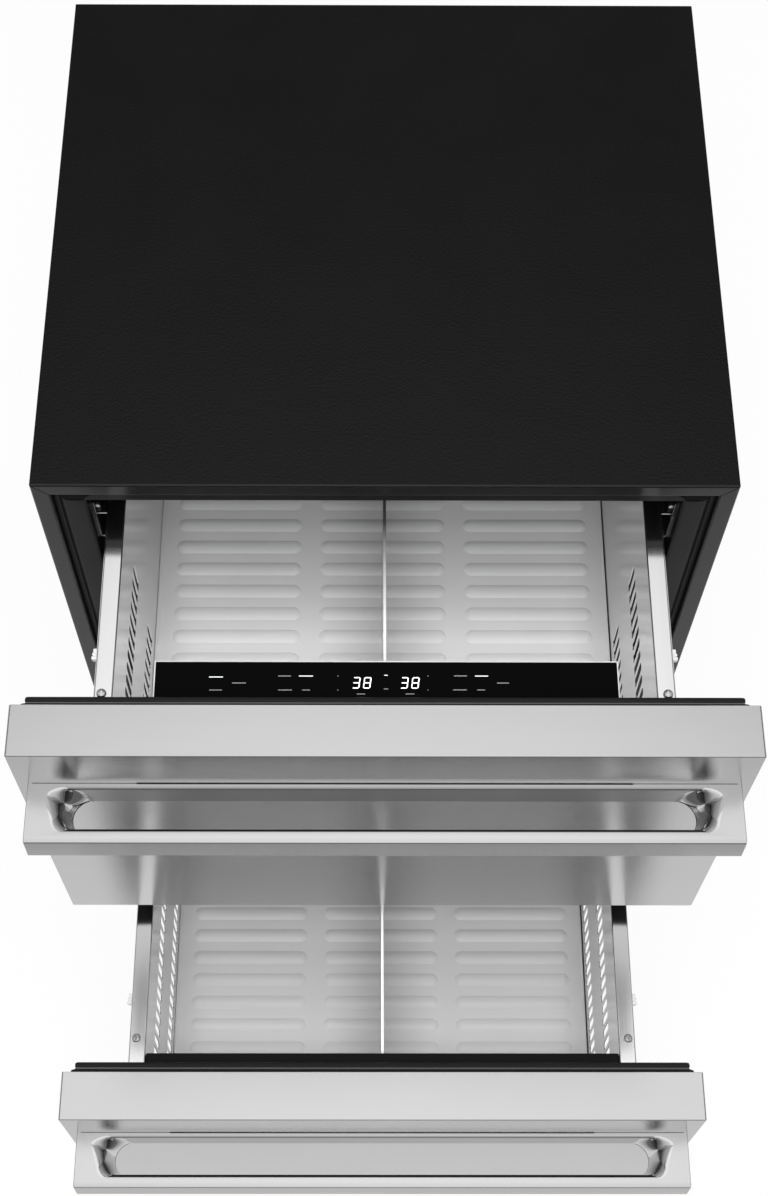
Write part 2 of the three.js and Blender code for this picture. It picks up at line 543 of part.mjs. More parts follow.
function front(prefix) {
  const x = FRONT_W / 2, t = FRONT_SKIN, i = t + FIT;
  add(`${prefix}_front_skin`, cut(
    softBox(-x, x, -FRONT_T, 1.2, -FRONT_H, 0, 1.2),
    [box(-x - 1, x + 1, 0, 5, -FRONT_H - 1, 1), box(-x + t, x - t, -FRONT_T + t, 5, -FRONT_H + t, -t)],
  ), STAINLESS);
  add(`${prefix}_inner_panel`, join([
    box(-x + i, x - i, -FRONT_T + i, 0, -FRONT_H + i, -i),
    softBox(-x + 53, x - 53, -5, 8, -FRONT_H + 24, -24, 3),
  ]), BLACK_PLASTIC);
  const ring = (inset, width, y0, y1) => {
    const frame = (d, a, b) => box(-x + 6 + d, x - 6 - d, a, b, -FRONT_H + 1.5 + d, -1.5 - d);
    return cut(frame(inset, y0, y1), frame(inset + width, y0 - 1, y1 + 1));
  };
  add(`${prefix}_gasket`, join([ring(0, 13, 0, 4.5), ring(2, 9, 4, 7), ring(0, 13, 6.5, GASKET_D)]), RUBBER);
}
function boxWalls(prefix, rim, slots, screwAt) {
  const t = BOX_SHEET, foot = rim - TRAY_DROP - WALL_BASE, ledge = foot + t;
  const rowTops = [rim - SLOT_TOP, rim - TRAY_DROP + SLOT_BOTTOM + SLOT_H];
  const wall = (s) => {
    const section = [[BOX_X, rim], [RIM_X, rim], [RIM_X, rim - 7], [RIM_X - t, rim - 7], [RIM_X - t, rim - t],
      [BOX_X + t, rim - t], [BOX_X + t, foot], [BOX_X - 16, foot], [BOX_X - 16, ledge], [BOX_X, ledge]]
      .map(([x, z]) => [s * x, z]);
    if (s > 0) section.reverse();
    const cuts = count(slots, (k) => rowTops.map((top) => {
      const y = SLOT_FIRST + k * SLOT_PITCH;
      return box(...span(s, BOX_X - 2, BOX_X + 4), y - SLOT_W / 2, y + SLOT_W / 2, top - SLOT_H, top);
    })).flat();
    const screwHole = rod(2.3, -3, 3, 'z', s * SCREW_X, screwAt, rim, 12);
    return cut(prism(section, 'y', BEAM_FRONT, BOX_END), [...cuts, screwHole]);
  };
  const back = box(-BOX_X - 0.6, BOX_X + 0.6, BOX_END - t, BOX_END, foot, rim - 20);
  add(`${prefix}_box_walls`, join([...both(wall), back]), SATIN_STEEL);
}
function tray(prefix, floor, ribFirst) {
  const sheet = box(-TRAY_X, TRAY_X, BEAM_BACK + 0.4, BOX_END - BOX_SHEET - 0.6, floor - 3, floor);
  const ribL = (2 * (TRAY_X - RIB_EDGE) - (RIB_COLUMNS - 1) * RIB_GAP) / RIB_COLUMNS;
  const rows = 1 + Math.floor((BOX_END - RIB_LAST - ribFirst) / RIB_PITCH);
  const pill = (cx, cy, a, b, z) => {
    const k = Math.min(a, b) * 0.62;
    const right = [[a - k, b], [a, b - k], [a, -b + k], [a - k, -b]];
    const left = right.map(([u, v]) => [-u, -v]);
    return [...right, ...left].map(([u, v]) => new THREE.Vector3(cx + u, cy + v, z));
  };
  const ribs = count(rows, (row) => count(RIB_COLUMNS, (column) => {
    const cx = (column - (RIB_COLUMNS - 1) / 2) * (ribL + RIB_GAP), cy = ribFirst + row * RIB_PITCH;
    return solid(new ConvexGeometry([
      ...pill(cx, cy, ribL / 2, RIB_W / 2, floor - 0.5),
      ...pill(cx, cy, ribL / 2 - 2.4, RIB_W / 2 - 2.4, floor + RIB_H),
    ]));
  })).flat();
  add(`${prefix}_tray`, join([sheet, ...ribs]), LIGHT_GREY);
}
function rimScrew(name, x, y, rim) {
  const head = lathe([[0, -8], [1.9, -8], [1.9, 0], [4.3, 0], [4.3, 0.7], [3.6, 1.9], [2, 2.5], [0, 2.6]],
    'z', x, y, rim, 12);
  const recess = [box(x - 2.5, x + 2.5, y - 0.5, y + 0.5, rim + 1.3, rim + 4),
    box(x - 0.5, x + 0.5, y - 2.5, y + 2.5, rim + 1.3, rim + 4)];
  add(name, cut(head, recess), ZINC);
}
function drawer(prefix, rimDrop, slots, ribFirst, screwAt) {
  const rim = -rimDrop, floor = rim - TRAY_DROP;
  front(prefix);
  handle(`${prefix}_handle`);
  boxWalls(prefix, rim, slots, screwAt);
  tray(prefix, floor, ribFirst);
  add(`${prefix}_front_beam`, softBox(-BOX_X + FIT, BOX_X - FIT, BEAM_FRONT, BEAM_BACK,
    floor - WALL_BASE + BOX_SHEET + FIT, rim, 1.5), BLACK_PLASTIC);
  add(`${prefix}_divider`, box(-1.35, 1.35, BEAM_BACK + 0.6, BOX_END - BOX_SHEET - 0.8,
    floor + RIB_H + FIT, rim - 6), CLEAR);
  rimScrew(`${prefix}_rim_screw_left`, -SCREW_X, screwAt, rim);
  rimScrew(`${prefix}_rim_screw_right`, SCREW_X, screwAt, rim);
}
// controls on the upper drawer's front beam
function controls() {
  const rim = -RIM_DROP_U, top = rim + 27;
  const x0 = -BOX_X + 37, x1 = BOX_X - 35, y0 = BEAM_FRONT, y1 = BEAM_FRONT + 42.7;
  add('control_housing', cut(softBox(x0, x1, y0, y1, rim + FIT, top, 1.2),
    box(x0 + 1.8, x1 - 1.8, y0 + 1.7, y1 - 1.8, top - 1.6, top + 3)), LIGHT_GREY);
  add('control_glass', softBox(x0 + 2.1, x1 - 2.1, y0 + 2, y1 - 2.1, top - 1.5, top - 0.2, 0.3), GLASS_BLACK);
}
place(0, FACE_L + FRONT_T, TOP_L, () => drawer('lower', RIM_DROP_L, SLOTS_L, RIB_FIRST_L, SCREW_L));
place(0, FACE_U + FRONT_T, TOP_U, () => {
  drawer('upper', RIM_DROP_U, SLOTS_U, RIB_FIRST_U, SCREW_U);
  controls();
});

// ---------------------------------------------------------------- shared frame
group.updateMatrixWorld(true);
const bounds = new THREE.Box3().setFromObject(group);
group.position.set(0, -(bounds.min.y + bounds.max.y) / 2, -bounds.min.z);
group.updateMatrixWorld(true);

export default group;
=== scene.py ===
"""Looks of a two-drawer undercounter refrigerator, both drawers standing open.

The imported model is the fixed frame. Sizes are in metres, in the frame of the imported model:
+X to the right seen from the front, +Y to the back, +Z up, floor at z = 0.
"""

import math

import bmesh
import bpy
from mathutils import Matrix, Vector


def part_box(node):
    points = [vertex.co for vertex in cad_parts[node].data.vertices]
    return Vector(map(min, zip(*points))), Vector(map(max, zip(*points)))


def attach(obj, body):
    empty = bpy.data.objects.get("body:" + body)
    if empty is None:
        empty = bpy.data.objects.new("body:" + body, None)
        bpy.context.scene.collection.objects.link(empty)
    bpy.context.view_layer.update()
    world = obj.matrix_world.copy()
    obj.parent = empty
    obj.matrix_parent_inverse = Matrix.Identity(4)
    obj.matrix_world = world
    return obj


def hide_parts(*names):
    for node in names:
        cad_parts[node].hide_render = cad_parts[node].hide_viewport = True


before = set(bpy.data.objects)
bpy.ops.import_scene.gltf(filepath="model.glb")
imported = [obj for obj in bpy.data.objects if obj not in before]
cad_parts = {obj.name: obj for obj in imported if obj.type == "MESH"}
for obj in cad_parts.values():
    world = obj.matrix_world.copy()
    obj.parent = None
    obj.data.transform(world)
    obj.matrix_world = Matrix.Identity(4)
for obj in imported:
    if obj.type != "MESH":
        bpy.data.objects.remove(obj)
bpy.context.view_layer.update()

MM = 0.001
DRAWERS = ("upper", "lower")


def mm(*values):
    """Millimetres as metres."""
    return [value * MM for value in values]


# ---- camera
PHOTO_W, PHOTO_H = 768, 1196          # frame of the picture, in its pixels
FOCAL_PX = 1833.1
AXIS_PX = (377.83, 631.84)            # where the lens axis meets the picture
CAMERA_AT = (-0.01266, -0.8230, 2.21342)
PITCH, YAW, ROLL = (math.radians(a) for a in (63.664, 0.5528, 0.5878))
SENSOR = 36.0


def make_camera():
    data = bpy.data.cameras.new("camera")
    data.sensor_width = SENSOR
    data.lens = FOCAL_PX / PHOTO_H * SENSOR
    data.shift_x = (PHOTO_W / 2 - AXIS_PX[0]) / PHOTO_H
    data.shift_y = (AXIS_PX[1] - PHOTO_H / 2) / PHOTO_H
    data.clip_start, data.clip_end = 0.05, 60
    ahead = Vector((math.sin(YAW) * math.cos(PITCH), math.cos(YAW) * math.cos(PITCH), -math.sin(PITCH)))
    level = Vector((math.cos(YAW), -math.sin(YAW), 0))
    over = level.cross(ahead)
    right = level * math.cos(ROLL) + over * math.sin(ROLL)
    up = over * math.cos(ROLL) - level * math.sin(ROLL)
    camera = bpy.data.objects.new("camera", data)
    camera.matrix_world = Matrix.Translation(CAMERA_AT) @ Matrix((right, up, -ahead)).transposed().to_4x4()
    bpy.context.scene.collection.objects.link(camera)
    bpy.context.scene.camera = camera


make_camera()


# ---- node tools
# the setting that a word after a node's kind gives, as in "Math MULTIPLY" or "Group metal_grain"
SETTING = {"Math": "operation", "VectorMath": "operation", "MeshBoolean": "operation", "Switch": "input_type",
           "MapRange": "interpolation_type", "Tangent": "direction_type", "Group": "node_tree"}


def set_sockets(node, values):
    for label, value in values.items():
        node.inputs[label].default_value = value


def socket_at(parts, place, side):
    """The socket at a place such as "noise.Scale" or "sum.1"; a label alone means its first socket."""
    label, _, socket = place.strip().partition(".")
    return getattr(parts[label], side)[socket if socket.strip("0123456789") else int(socket or 0)]


def wire(tree, parts, links, prefix="ShaderNode", **nodes):
    """Adds nodes, each a kind or (kind, input values), to parts, and links "from.output > to.input; ..."."""
    for label, entry in nodes.items():
        kind, values = (entry, {}) if isinstance(entry, str) else entry
        kind, *words = kind.split()
        parts[label] = tree.nodes.new(prefix + kind)
        for word in words:
            setattr(parts[label], SETTING[kind], bpy.data.node_groups.get(word) or word)
        set_sockets(parts[label], values)
    for link in links.split(";"):
        source, target = link.split(">")
        tree.links.new(socket_at(parts, source, "outputs"), socket_at(parts, target, "inputs"))
    return parts


def new_group(name, kind, inputs, outputs):
    """A node group with named sockets, (name, type, default), and its ends as wire's first parts."""
    group = bpy.data.node_groups.new(name, kind)
    for side, rows in (("INPUT", inputs), ("OUTPUT", outputs)):
        for label, socket_type, *default in rows:
            socket = group.interface.new_socket(label, in_out=side, socket_type="NodeSocket" + socket_type)
            if default:
                socket.default_value = default[0]
    return group, {"in": group.nodes.new("NodeGroupInput"), "out": group.nodes.new("NodeGroupOutput")}


FINISH_OUTPUTS = [("Color", "Color"), ("Roughness", "Float"), ("Normal", "Vector")]


def make_grain_group():
    """Brushed or rolled metal: lines along the coordinate's first axis, smears and a fine bump."""
    group, parts = new_group("metal_grain", "ShaderNodeTree",
        [("Vector", "Vector"), ("Tint", "Color", (0.6, 0.6, 0.6, 1)), ("Roughness", "Float", 0.3),
         ("Line Depth", "Float", 0.1), ("Tone Spread", "Float", 0.06), ("Rough Spread", "Float", 0.08)],
        FINISH_OUTPUTS)
    wire(group, parts, coords="TexCoord", lines=("TexNoise", {"Scale": 1.0, "Detail": 3}),
        smear=("TexNoise", {"Scale": 9, "Detail": 4}), tone=("MapRange", {"To Min": -1}),
        centred=("Math MULTIPLY_ADD", {2: 1}), mix="VectorMath SCALE", rough_line="Math MULTIPLY",
        rough_smear=("MapRange", {"To Min": -1}), rough_sum="Math MULTIPLY_ADD",
        rough=("Math MULTIPLY_ADD", {1: 0.5}), bump=("Bump", {"Distance": 0.0002}),
        links="""in > lines; coords.Object > smear; lines > tone; tone > centred;
            in.Tone Spread > centred.1; in.Tint > mix; centred > mix.Scale; mix > out.Color;
            smear > rough_smear; tone > rough_line; in.Rough Spread > rough_line.1;
            rough_smear > rough_sum; in.Rough Spread > rough_sum.1; rough_line > rough_sum.2;
            rough_sum > rough; in.Roughness > rough.2; rough > out.Roughness; lines > bump.Height;
            in.Line Depth > bump.Strength; bump.Normal > out.Normal""")


def make_skin_group():
    """Paint or moulded plastic: a fine dimpled skin, faint tone clouds and rubbed patches."""
    group, parts = new_group("dimpled_skin", "ShaderNodeTree",
        [("Tint", "Color", (0.02, 0.02, 0.02, 1)), ("Roughness", "Float", 0.4),
         ("Dimple Scale", "Float", 600), ("Dimple Depth", "Float", 0.2), ("Tone Spread", "Float", 0.1),
         ("Rough Spread", "Float", 0.08)],
        FINISH_OUTPUTS)
    wire(group, parts, coords="TexCoord", dimples=("TexNoise", {"Detail": 2}),
        cloud=("TexNoise", {"Scale": 14, "Detail": 5}), spread=("MapRange", {"To Min": -1}),
        tone=("Math MULTIPLY_ADD", {2: 1}), mix="VectorMath SCALE", rough="Math MULTIPLY_ADD",
        bump=("Bump", {"Distance": 0.0003}),
        links="""coords.Object > dimples; in.Dimple Scale > dimples.Scale; coords.Object > cloud;
            cloud > spread; spread > tone; in.Tone Spread > tone.1; in.Tint > mix; tone > mix.Scale;
            mix > out.Color; spread > rough; in.Rough Spread > rough.1; in.Roughness > rough.2;
            rough > out.Roughness; dimples > bump.Height; in.Dimple Depth > bump.Strength;
            bump.Normal > out.Normal""")


make_grain_group()
make_skin_group()


# ---- materials
def blank_material(name):
    """A new material, its node tree, and its shader as wire's first part."""
    mat = bpy.data.materials.new(name)
    mat.use_nodes = True
    return mat, mat.node_tree, {"bsdf": mat.node_tree.nodes["Principled BSDF"]}


def colour(tint):
    """A grey level or a colour, as the value of a colour socket."""
    return (*tint, 1) if isinstance(tint, tuple) else (tint, tint, tint, 1)


def metal(name, tint, roughness, across, depth=0.1, tone=0.05, rough_spread=0.06, **sockets):
    """Brushed or rolled metal. across gives the grain's frequency along x, y and z."""
    mat, tree, parts = blank_material(name)
    wire(tree, parts, coords="TexCoord", mapping=("Mapping", {"Scale": across}),
        grain=("Group metal_grain", {"Tint": colour(tint), "Roughness": roughness, "Line Depth": depth,
                                     "Tone Spread": tone, "Rough Spread": rough_spread}),
        links="""coords.Object > mapping; mapping > grain; grain.Color > bsdf.Base Color;
            grain.Roughness > bsdf.Roughness; grain.Normal > bsdf.Normal""")
    set_sockets(parts["bsdf"], {"Metallic": 1.0, **sockets})
    return mat


def skin(name, tint, roughness, scale, depth=0.15, tone=0.08, rough_spread=0.06, specular=0.5, **sockets):
    """Paint, rubber or moulded plastic."""
    mat, tree, parts = blank_material(name)
    wire(tree, parts, skin=("Group dimpled_skin", {"Tint": colour(tint), "Roughness": roughness,
        "Dimple Scale": scale, "Dimple Depth": depth, "Tone Spread": tone, "Rough Spread": rough_spread}),
        links="skin.Color > bsdf.Base Color; skin.Roughness > bsdf.Roughness; skin.Normal > bsdf.Normal")
    set_sockets(parts["bsdf"], {"Specular IOR Level": specular, **sockets})
    return mat


BRUSHED = 0.85                   # how much further brushed steel spreads light across its lines
BRUSHING = (2, 9000, 9000)       # frequency of its lines


def brushed_steel(name, tint, roughness, depth):
    """Steel brushed along x: light spreads along the U of the piece's map of the brushing."""
    mat = metal(name, tint, roughness, BRUSHING, depth, tone=0.02, rough_spread=0.03, Anisotropic=BRUSHED)
    tree = mat.node_tree
    parts = wire(tree, {"bsdf": tree.nodes["Principled BSDF"]}, tangent="Tangent UV_MAP",
        links="tangent > bsdf.Tangent")
    parts["tangent"].uv_map = "brushing"
    return mat


black_paint = skin("black_paint", 0.0035, 0.28, 420, 0.8, 0.15, specular=0.2)
fold_paint = skin("fold_paint", 0.006, 0.24, 700, 0.08, 0.1, 0.04, specular=0.36)
frame_paint = skin("frame_paint", 0.006, 0.42, 700, 0.12, specular=0.16)
front_steel = brushed_steel("front_steel", 0.69, 0.2, 0.1)
handle_steel = brushed_steel("handle_steel", 0.7, 0.18, 0.08)
# painted shade: a darker copy of the handle steel for the back wall inside the finger opening
opening_steel = metal("opening_steel", 0.42, 0.3, (2, 900, 900), rough_spread=0.05)
# painted highlight: a brighter copy of the box steel for the rim and lip of the same folded sheet
rim_steel = metal("rim_steel", 0.9, 0.14, (500, 4, 500), 0.04, 0.03, 0.04)
polished_steel = metal("polished_steel", 0.72, 0.05, (60, 60, 60), 0.01, 0.01, 0.02)
satin_steel = metal("satin_steel", 0.74, 0.16, (500, 4, 500), 0.04, 0.04, 0.04)
galvanised = metal("galvanised", 0.5, 0.42, (30, 30, 30), tone=0.12)
zinc = metal("zinc", 0.62, 0.25, (500, 6, 500), 0.04, 0.04)
aluminium = metal("aluminium", 0.75, 0.35, (40, 40, 400))
copper = metal("copper", (0.72, 0.38, 0.24), 0.3, (40, 400, 400), 0.05)
tray_finish = skin("tray_finish", 0.8, 0.34, 500, 0.05, 0.03, 0.05)
black_plastic = skin("black_plastic", 0.004, 0.42, 500, 0.2, specular=0.15)
rubber = skin("rubber", 0.006, 0.5, 400, specular=0.3)
# painted highlight: a grey line along the gasket's groove, lighter than the rubber
seal_groove = skin("seal_groove", 0.11, 0.55, 400, 0.1)
liner_plastic = skin("liner_plastic", 0.012, 0.4, 300, 0.1)
foam = skin("foam", (0.7, 0.6, 0.36), 0.9, 240, 0.5)
lens = skin("lens", 0.85, 0.35, 300, 0.05)
grey_housing = skin("grey_housing", 0.7, 0.3, 500, 0.08)
compressor_paint = skin("compressor_paint", 0.012, 0.35, 500, 0.1)
black_glass = skin("black_glass", 0.0012, 0.05, 60, 0.01, 0.05, 0.02, specular=0.025)
white_plastic = skin("white_plastic", 0.6, 0.35, 400, 0.08)
clear_acrylic = skin("clear_acrylic", 0.96, 0.04, 90, 0.02, 0.01, 0.02,
    **{"Transmission Weight": 1.0, "IOR": 1.49})


def make_cut_edge_painted_shade(name, dark_at, pale_at, dark, pale):
    """Sawn edge of the divider, with painted shade: its colour is painted darker towards the back, between
    two places along y, for the shade under the cabinet.
    """
    mat, tree, parts = blank_material(name)
    wire(tree, parts, coords="TexCoord", split="SeparateXYZ",
        shade=("MapRange", {"From Min": dark_at, "From Max": pale_at, "To Min": dark, "To Max": pale}),
        saw=("TexNoise", {"Scale": 900, "Detail": 3}), uneven=("MapRange", {"To Min": 0.92, "To Max": 1.04}),
        tone="Math MULTIPLY", join="CombineColor",
        links="""coords.Object > split; split.Y > shade; coords.Object > saw; saw > uneven; shade > tone;
            uneven > tone.1; tone > join; tone > join.1; tone > join.2; join.Color > bsdf.Base Color""")
    set_sockets(parts["bsdf"], {"Roughness": 0.3})
    return mat


# top edges of the dividers: painted shade, darker towards the back
divider_edges_painted_shade = {"upper": make_cut_edge_painted_shade("upper_divider_edge", -0.02, -0.14, 0.03, 0.8),
                 "lower": make_cut_edge_painted_shade("lower_divider_edge", -0.05, -0.4, 0.75, 0.93)}


def make_light_print(name, strength, level):
    """Lit digits and pale printed marks under the control glass."""
    mat, tree, parts = blank_material(name)
    wire(tree, parts, coords="TexCoord", noise=("TexNoise", {"Scale": 300}),
        ramp=("MapRange", {"To Min": level * 0.94, "To Max": level}), join="CombineColor",
        links="""coords.Object > noise; noise > ramp; ramp > join; ramp > join.1; ramp > join.2;
            join.Color > bsdf.Base Color; join.Color > bsdf.Emission Color""")
    set_sockets(parts["bsdf"], {"Emission Strength": strength, "Roughness": 0.4})
    return mat


digit_light = make_light_print("digit_light", 1.0, 0.95)
label_bright = make_light_print("label_bright", 0.45, 0.72)
label_dim = make_light_print("label_dim", 0.06, 0.22)


# ---- mesh tools
def soften(obj, angle=35):
    """Shades smooth across edges flatter than the angle."""
    obj.data.shade_smooth()
    obj.data.set_sharp_from_angle(angle=math.radians(angle))
    return obj


def new_object(name, bm, finishes):
    """A mesh object from bm, with its finishes."""
    mesh = bpy.data.meshes.new(name)
    bm.to_mesh(mesh)
    bm.free()
    for finish in finishes:
        mesh.materials.append(finish)
    obj = bpy.data.objects.new(name, mesh)
    bpy.context.scene.collection.objects.link(obj)
    return obj


def add_object(name, bm, material, smooth=35):
    """A mesh object from bm, faces out, smooth up to that angle."""
    bmesh.ops.remove_doubles(bm, verts=bm.verts, dist=1e-6)
    bmesh.ops.recalc_face_normals(bm, faces=bm.faces)
    return soften(new_object(name, bm, [material] if material else []), smooth)


def make_plain(obj):
    """Turns the object's modifiers into plain mesh."""
    graph = bpy.context.evaluated_depsgraph_get()
    graph.update()
    mesh = bpy.data.meshes.new_from_object(obj.evaluated_get(graph))
    obj.modifiers.clear()
    old = obj.data
    obj.data = mesh
    mesh.name = old.name
    bpy.data.meshes.remove(old)
    return obj


def discard(*objects):
    for obj in objects:
        bpy.data.objects.remove(obj)


def mount(obj, body, slot, *replaced):
    """Puts a finished piece on its body, in place of the CAD nodes it stands for. slot is not used."""
    m = obj.modifiers.new("flat_faces", "WEIGHTED_NORMAL")
    m.keep_sharp = True
    make_plain(obj)
    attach(obj, body)
    if replaced:
        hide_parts(*replaced)


def map_brushing(obj):
    """Map of steel brushed along x: U runs across the lines, round the piece."""
    layer = obj.data.uv_layers.new(name="brushing")
    for loop, uv in zip(obj.data.loops, layer.data):
        x, y, z = obj.data.vertices[loop.vertex_index].co
        uv.uv = (z + y, x + 0.01 * (z - y))


def paint_faces(obj, finish, chosen):
    """Gives a further finish to the faces for which chosen is true."""
    obj.data.materials.append(finish)
    number = len(obj.data.materials) - 1
    for face in obj.data.polygons:
        if chosen(face):
            face.material_index = number


def merge(name, parts, smooth=35):
    """Joins finished parts into one piece, keeping their materials."""
    bm = bmesh.new()
    finishes = []
    for part in parts:
        for mat in part.data.materials:
            if mat not in finishes:
                finishes.append(mat)
        numbers = [finishes.index(mat) for mat in part.data.materials]
        start = len(bm.faces)
        bm.from_mesh(part.data)
        bm.faces.ensure_lookup_table()
        for face in bm.faces[start:]:
            face.material_index = numbers[face.material_index]
    obj = new_object(name, bm, finishes)
    discard(*parts)
    return soften(obj, smooth)


def arc(cu, cv, r, start, end, steps):
    """Points on an arc, degrees, both ends included."""
    turns = [math.radians(start + (end - start) * k / steps) for k in range(steps + 1)]
    return [(cu + r * math.cos(a), cv + r * math.sin(a)) for a in turns]


def round_rect(u0, u1, v0, v1, r, steps):
    """Closed outline of a rectangle with round corners, anticlockwise from the lower right."""
    r = max(r, 1e-5)
    return (arc(u1 - r, v0 + r, r, -90, 0, steps) + arc(u1 - r, v1 - r, r, 0, 90, steps)
            + arc(u0 + r, v1 - r, r, 90, 180, steps) + arc(u0 + r, v0 + r, r, 180, 270, steps))


def bridge(bm, a, b, skipped=()):
    """Quads between two closed rings of corners, but for the sides skipped."""
    n = len(a)
    for k in range(n):
        if k not in skipped:
            bm.faces.new((a[k], a[(k + 1) % n], b[(k + 1) % n], b[k]))


def loft(bm, rings, loop=False):
    """Quads between closed rings of points. loop: the last ring meets the first."""
    rows = [[bm.verts.new(p) for p in ring] for ring in rings]
    for a, b in list(zip(rows, rows[1:])) + ([(rows[-1], rows[0])] if loop else []):
        bridge(bm, a, b)
    return rows


def rect_rings(box, profile, radius, steps=6):
    """Rings in upright planes round box = (x0, x1, z0, z1); profile rows are (inset, y)."""
    x0, x1, z0, z1 = box
    rings = []
    for inset, y in profile:
        outline = round_rect(x0 + inset, x1 - inset, z0 + inset, z1 - inset, radius - inset, steps)
        rings.append([(x, y, z) for x, z in outline])
    return rings


def ring_piece(name, box, profile, radius, material, smooth=35, caps=(), loop=False):
    """A piece of such rings, closed at those of its ends that caps lists, or closed to a loop."""
    bm = bmesh.new()
    rows = loft(bm, rect_rings(box, profile, radius), loop=loop)
    for end in caps:
        bm.faces.new(rows[end])
    return add_object(name, bm, material, smooth)


def ring_edges(bm, ring):
    return [bm.edges.get((ring[i], ring[(i + 1) % len(ring)])) for i in range(len(ring))]


def fill_between(bm, *rings):
    """A flat face bounded by the first ring, with the other rings as holes."""
    edges = [edge for ring in rings for edge in ring_edges(bm, ring)]
    bmesh.ops.triangle_fill(bm, use_beauty=True, use_dissolve=False, edges=edges)


def thicken(path, t):
    """Closed outline of a bent sheet: the path, and the same path moved t to its left."""
    points = [Vector(p) for p in path]
    moved = []
    for i, p in enumerate(points):
        into = (p - points[i - 1]).normalized() if i else (points[1] - p).normalized()
        out = (points[i + 1] - p).normalized() if i + 1 < len(points) else into
        left = Vector((-into.y - out.y, into.x + out.x)).normalized()
        moved.append(p + left * t / left.dot(Vector((-into.y, into.x))))
    return [tuple(p) for p in points] + [tuple(p) for p in reversed(moved)]


SPOT = {"x": lambda u, v, w: (w, u, v), "y": lambda u, v, w: (u, w, v), "z": lambda u, v, w: (u, v, w)}


def run(name, outline, axis, start, end, material):
    """A closed outline run along an axis between places, or between functions of the outline's points."""
    rings = []
    for limit in (start, end):
        reach = limit if callable(limit) else lambda u, v, fixed=limit: fixed
        rings.append([SPOT[axis](u, v, reach(u, v)) for u, v in outline])
    bm = bmesh.new()
    for row in loft(bm, rings):
        bm.faces.new(row)
    return add_object(name, bm, material)


BEVEL_FROM = math.radians(30)    # edges sharper than this are made round


def bevel(obj, width, segments):
    m = obj.modifiers.new("edge", "BEVEL")
    m.width, m.segments, m.limit_method, m.angle_limit = width, segments, "ANGLE", BEVEL_FROM
    return soften(make_plain(obj))


def soft_block(name, low, high, width, material, segments=3):
    """A block with round edges."""
    low, high = Vector(low), Vector(high)
    outline = [(low.x, low.y), (high.x, low.y), (high.x, high.y), (low.x, high.y)]
    return bevel(run(name, outline, "z", low.z, high.z, material), width, segments)


def carve(obj, *cutters):
    """Cuts the cutters out of obj."""
    for cutter in cutters:
        m = obj.modifiers.new("cut", "BOOLEAN")
        m.operation, m.solver, m.object = "DIFFERENCE", "EXACT", cutter
    make_plain(obj)
    discard(*cutters)
    return soften(obj)


def turned(name, points, material, at=(0, 0, 0), lying=False, steps=28):
    """A turned piece about an upright axis, or one along y, through a place: points are (radius, height)."""
    turn = Matrix.Rotation(math.radians(-90 if lying else 0), 3, "X")
    bm = bmesh.new()
    rings = []
    for r, height in points:
        circle = arc(0, 0, r, 0, 360, steps)[:-1]
        rings.append([turn @ Vector((x, y, height)) + Vector(at) for x, y in circle])
    rows = loft(bm, rings)
    bm.faces.new(rows[0])
    bm.faces.new(rows[-1])
    return add_object(name, bm, material)


def shifted(name, source, offset):
    """A moved copy of a piece's mesh."""
    bm = bmesh.new()
    bm.from_mesh(source.data)
    bmesh.ops.translate(bm, verts=bm.verts, vec=offset)
    return soften(new_object(name, bm, source.data.materials))


# ---- repeats
def make_copies_tree():
    """Rows of one object, added to the piece or cut out of it."""
    tree, parts = new_group("rows_of_copies", "GeometryNodeTree",
        [("Geometry", "Geometry"), ("Copy", "Object"), ("Start", "Vector", (0, 0, 0)), ("Count", "Int", 1),
         ("Step", "Vector", (0, 0, 0)), ("Rows", "Int", 1), ("Row Step", "Vector", (0, 0, 0)),
         ("Cut", "Bool", False), ("Material", "Material")], [("Geometry", "Geometry")])
    wire(tree, parts, prefix="GeometryNode", row="MeshLine", rows="MeshLine", spread="InstanceOnPoints",
        points="RealizeInstances", info="ObjectInfo", copies="InstanceOnPoints", real="RealizeInstances",
        paint="SetMaterial", join="JoinGeometry", cut="MeshBoolean DIFFERENCE", switch="Switch GEOMETRY",
        links="""in.Count > row.Count; in.Start > row.Start Location; in.Step > row.Offset;
            in.Rows > rows.Count; in.Row Step > rows.Offset; rows.Mesh > spread.Points;
            row.Mesh > spread.Instance; spread.Instances > points; points > copies.Points;
            in.Copy > info.Object; info.Geometry > copies.Instance; copies.Instances > real; real > paint;
            in.Material > paint.Material; paint > join; in > join; in > cut.Mesh 1; paint > cut.Mesh 2;
            in.Cut > switch.Switch; join > switch.False; cut.Mesh > switch.True; switch.Output > out""")
    return tree


COPIES = make_copies_tree()
COPIES_SOCKETS = {s.name: s.identifier for s in COPIES.interface.items_tree if s.in_out == "INPUT"}


def repeat(obj, copy, start, count, step, rows=1, row_step=(0, 0, 0), cut=False, material=None):
    """Runs the tree of copies on obj and keeps the result as plain mesh."""
    m = obj.modifiers.new("copies", "NODES")
    m.node_group = COPIES
    values = {"Copy": copy, "Count": count, "Rows": rows, "Cut": cut, "Material": material}
    for label, place in (("Start", start), ("Step", step), ("Row Step", row_step)):
        values[label] = tuple(map(float, place))
    for label, value in values.items():
        m[COPIES_SOCKETS[label]] = value
    return soften(make_plain(obj))


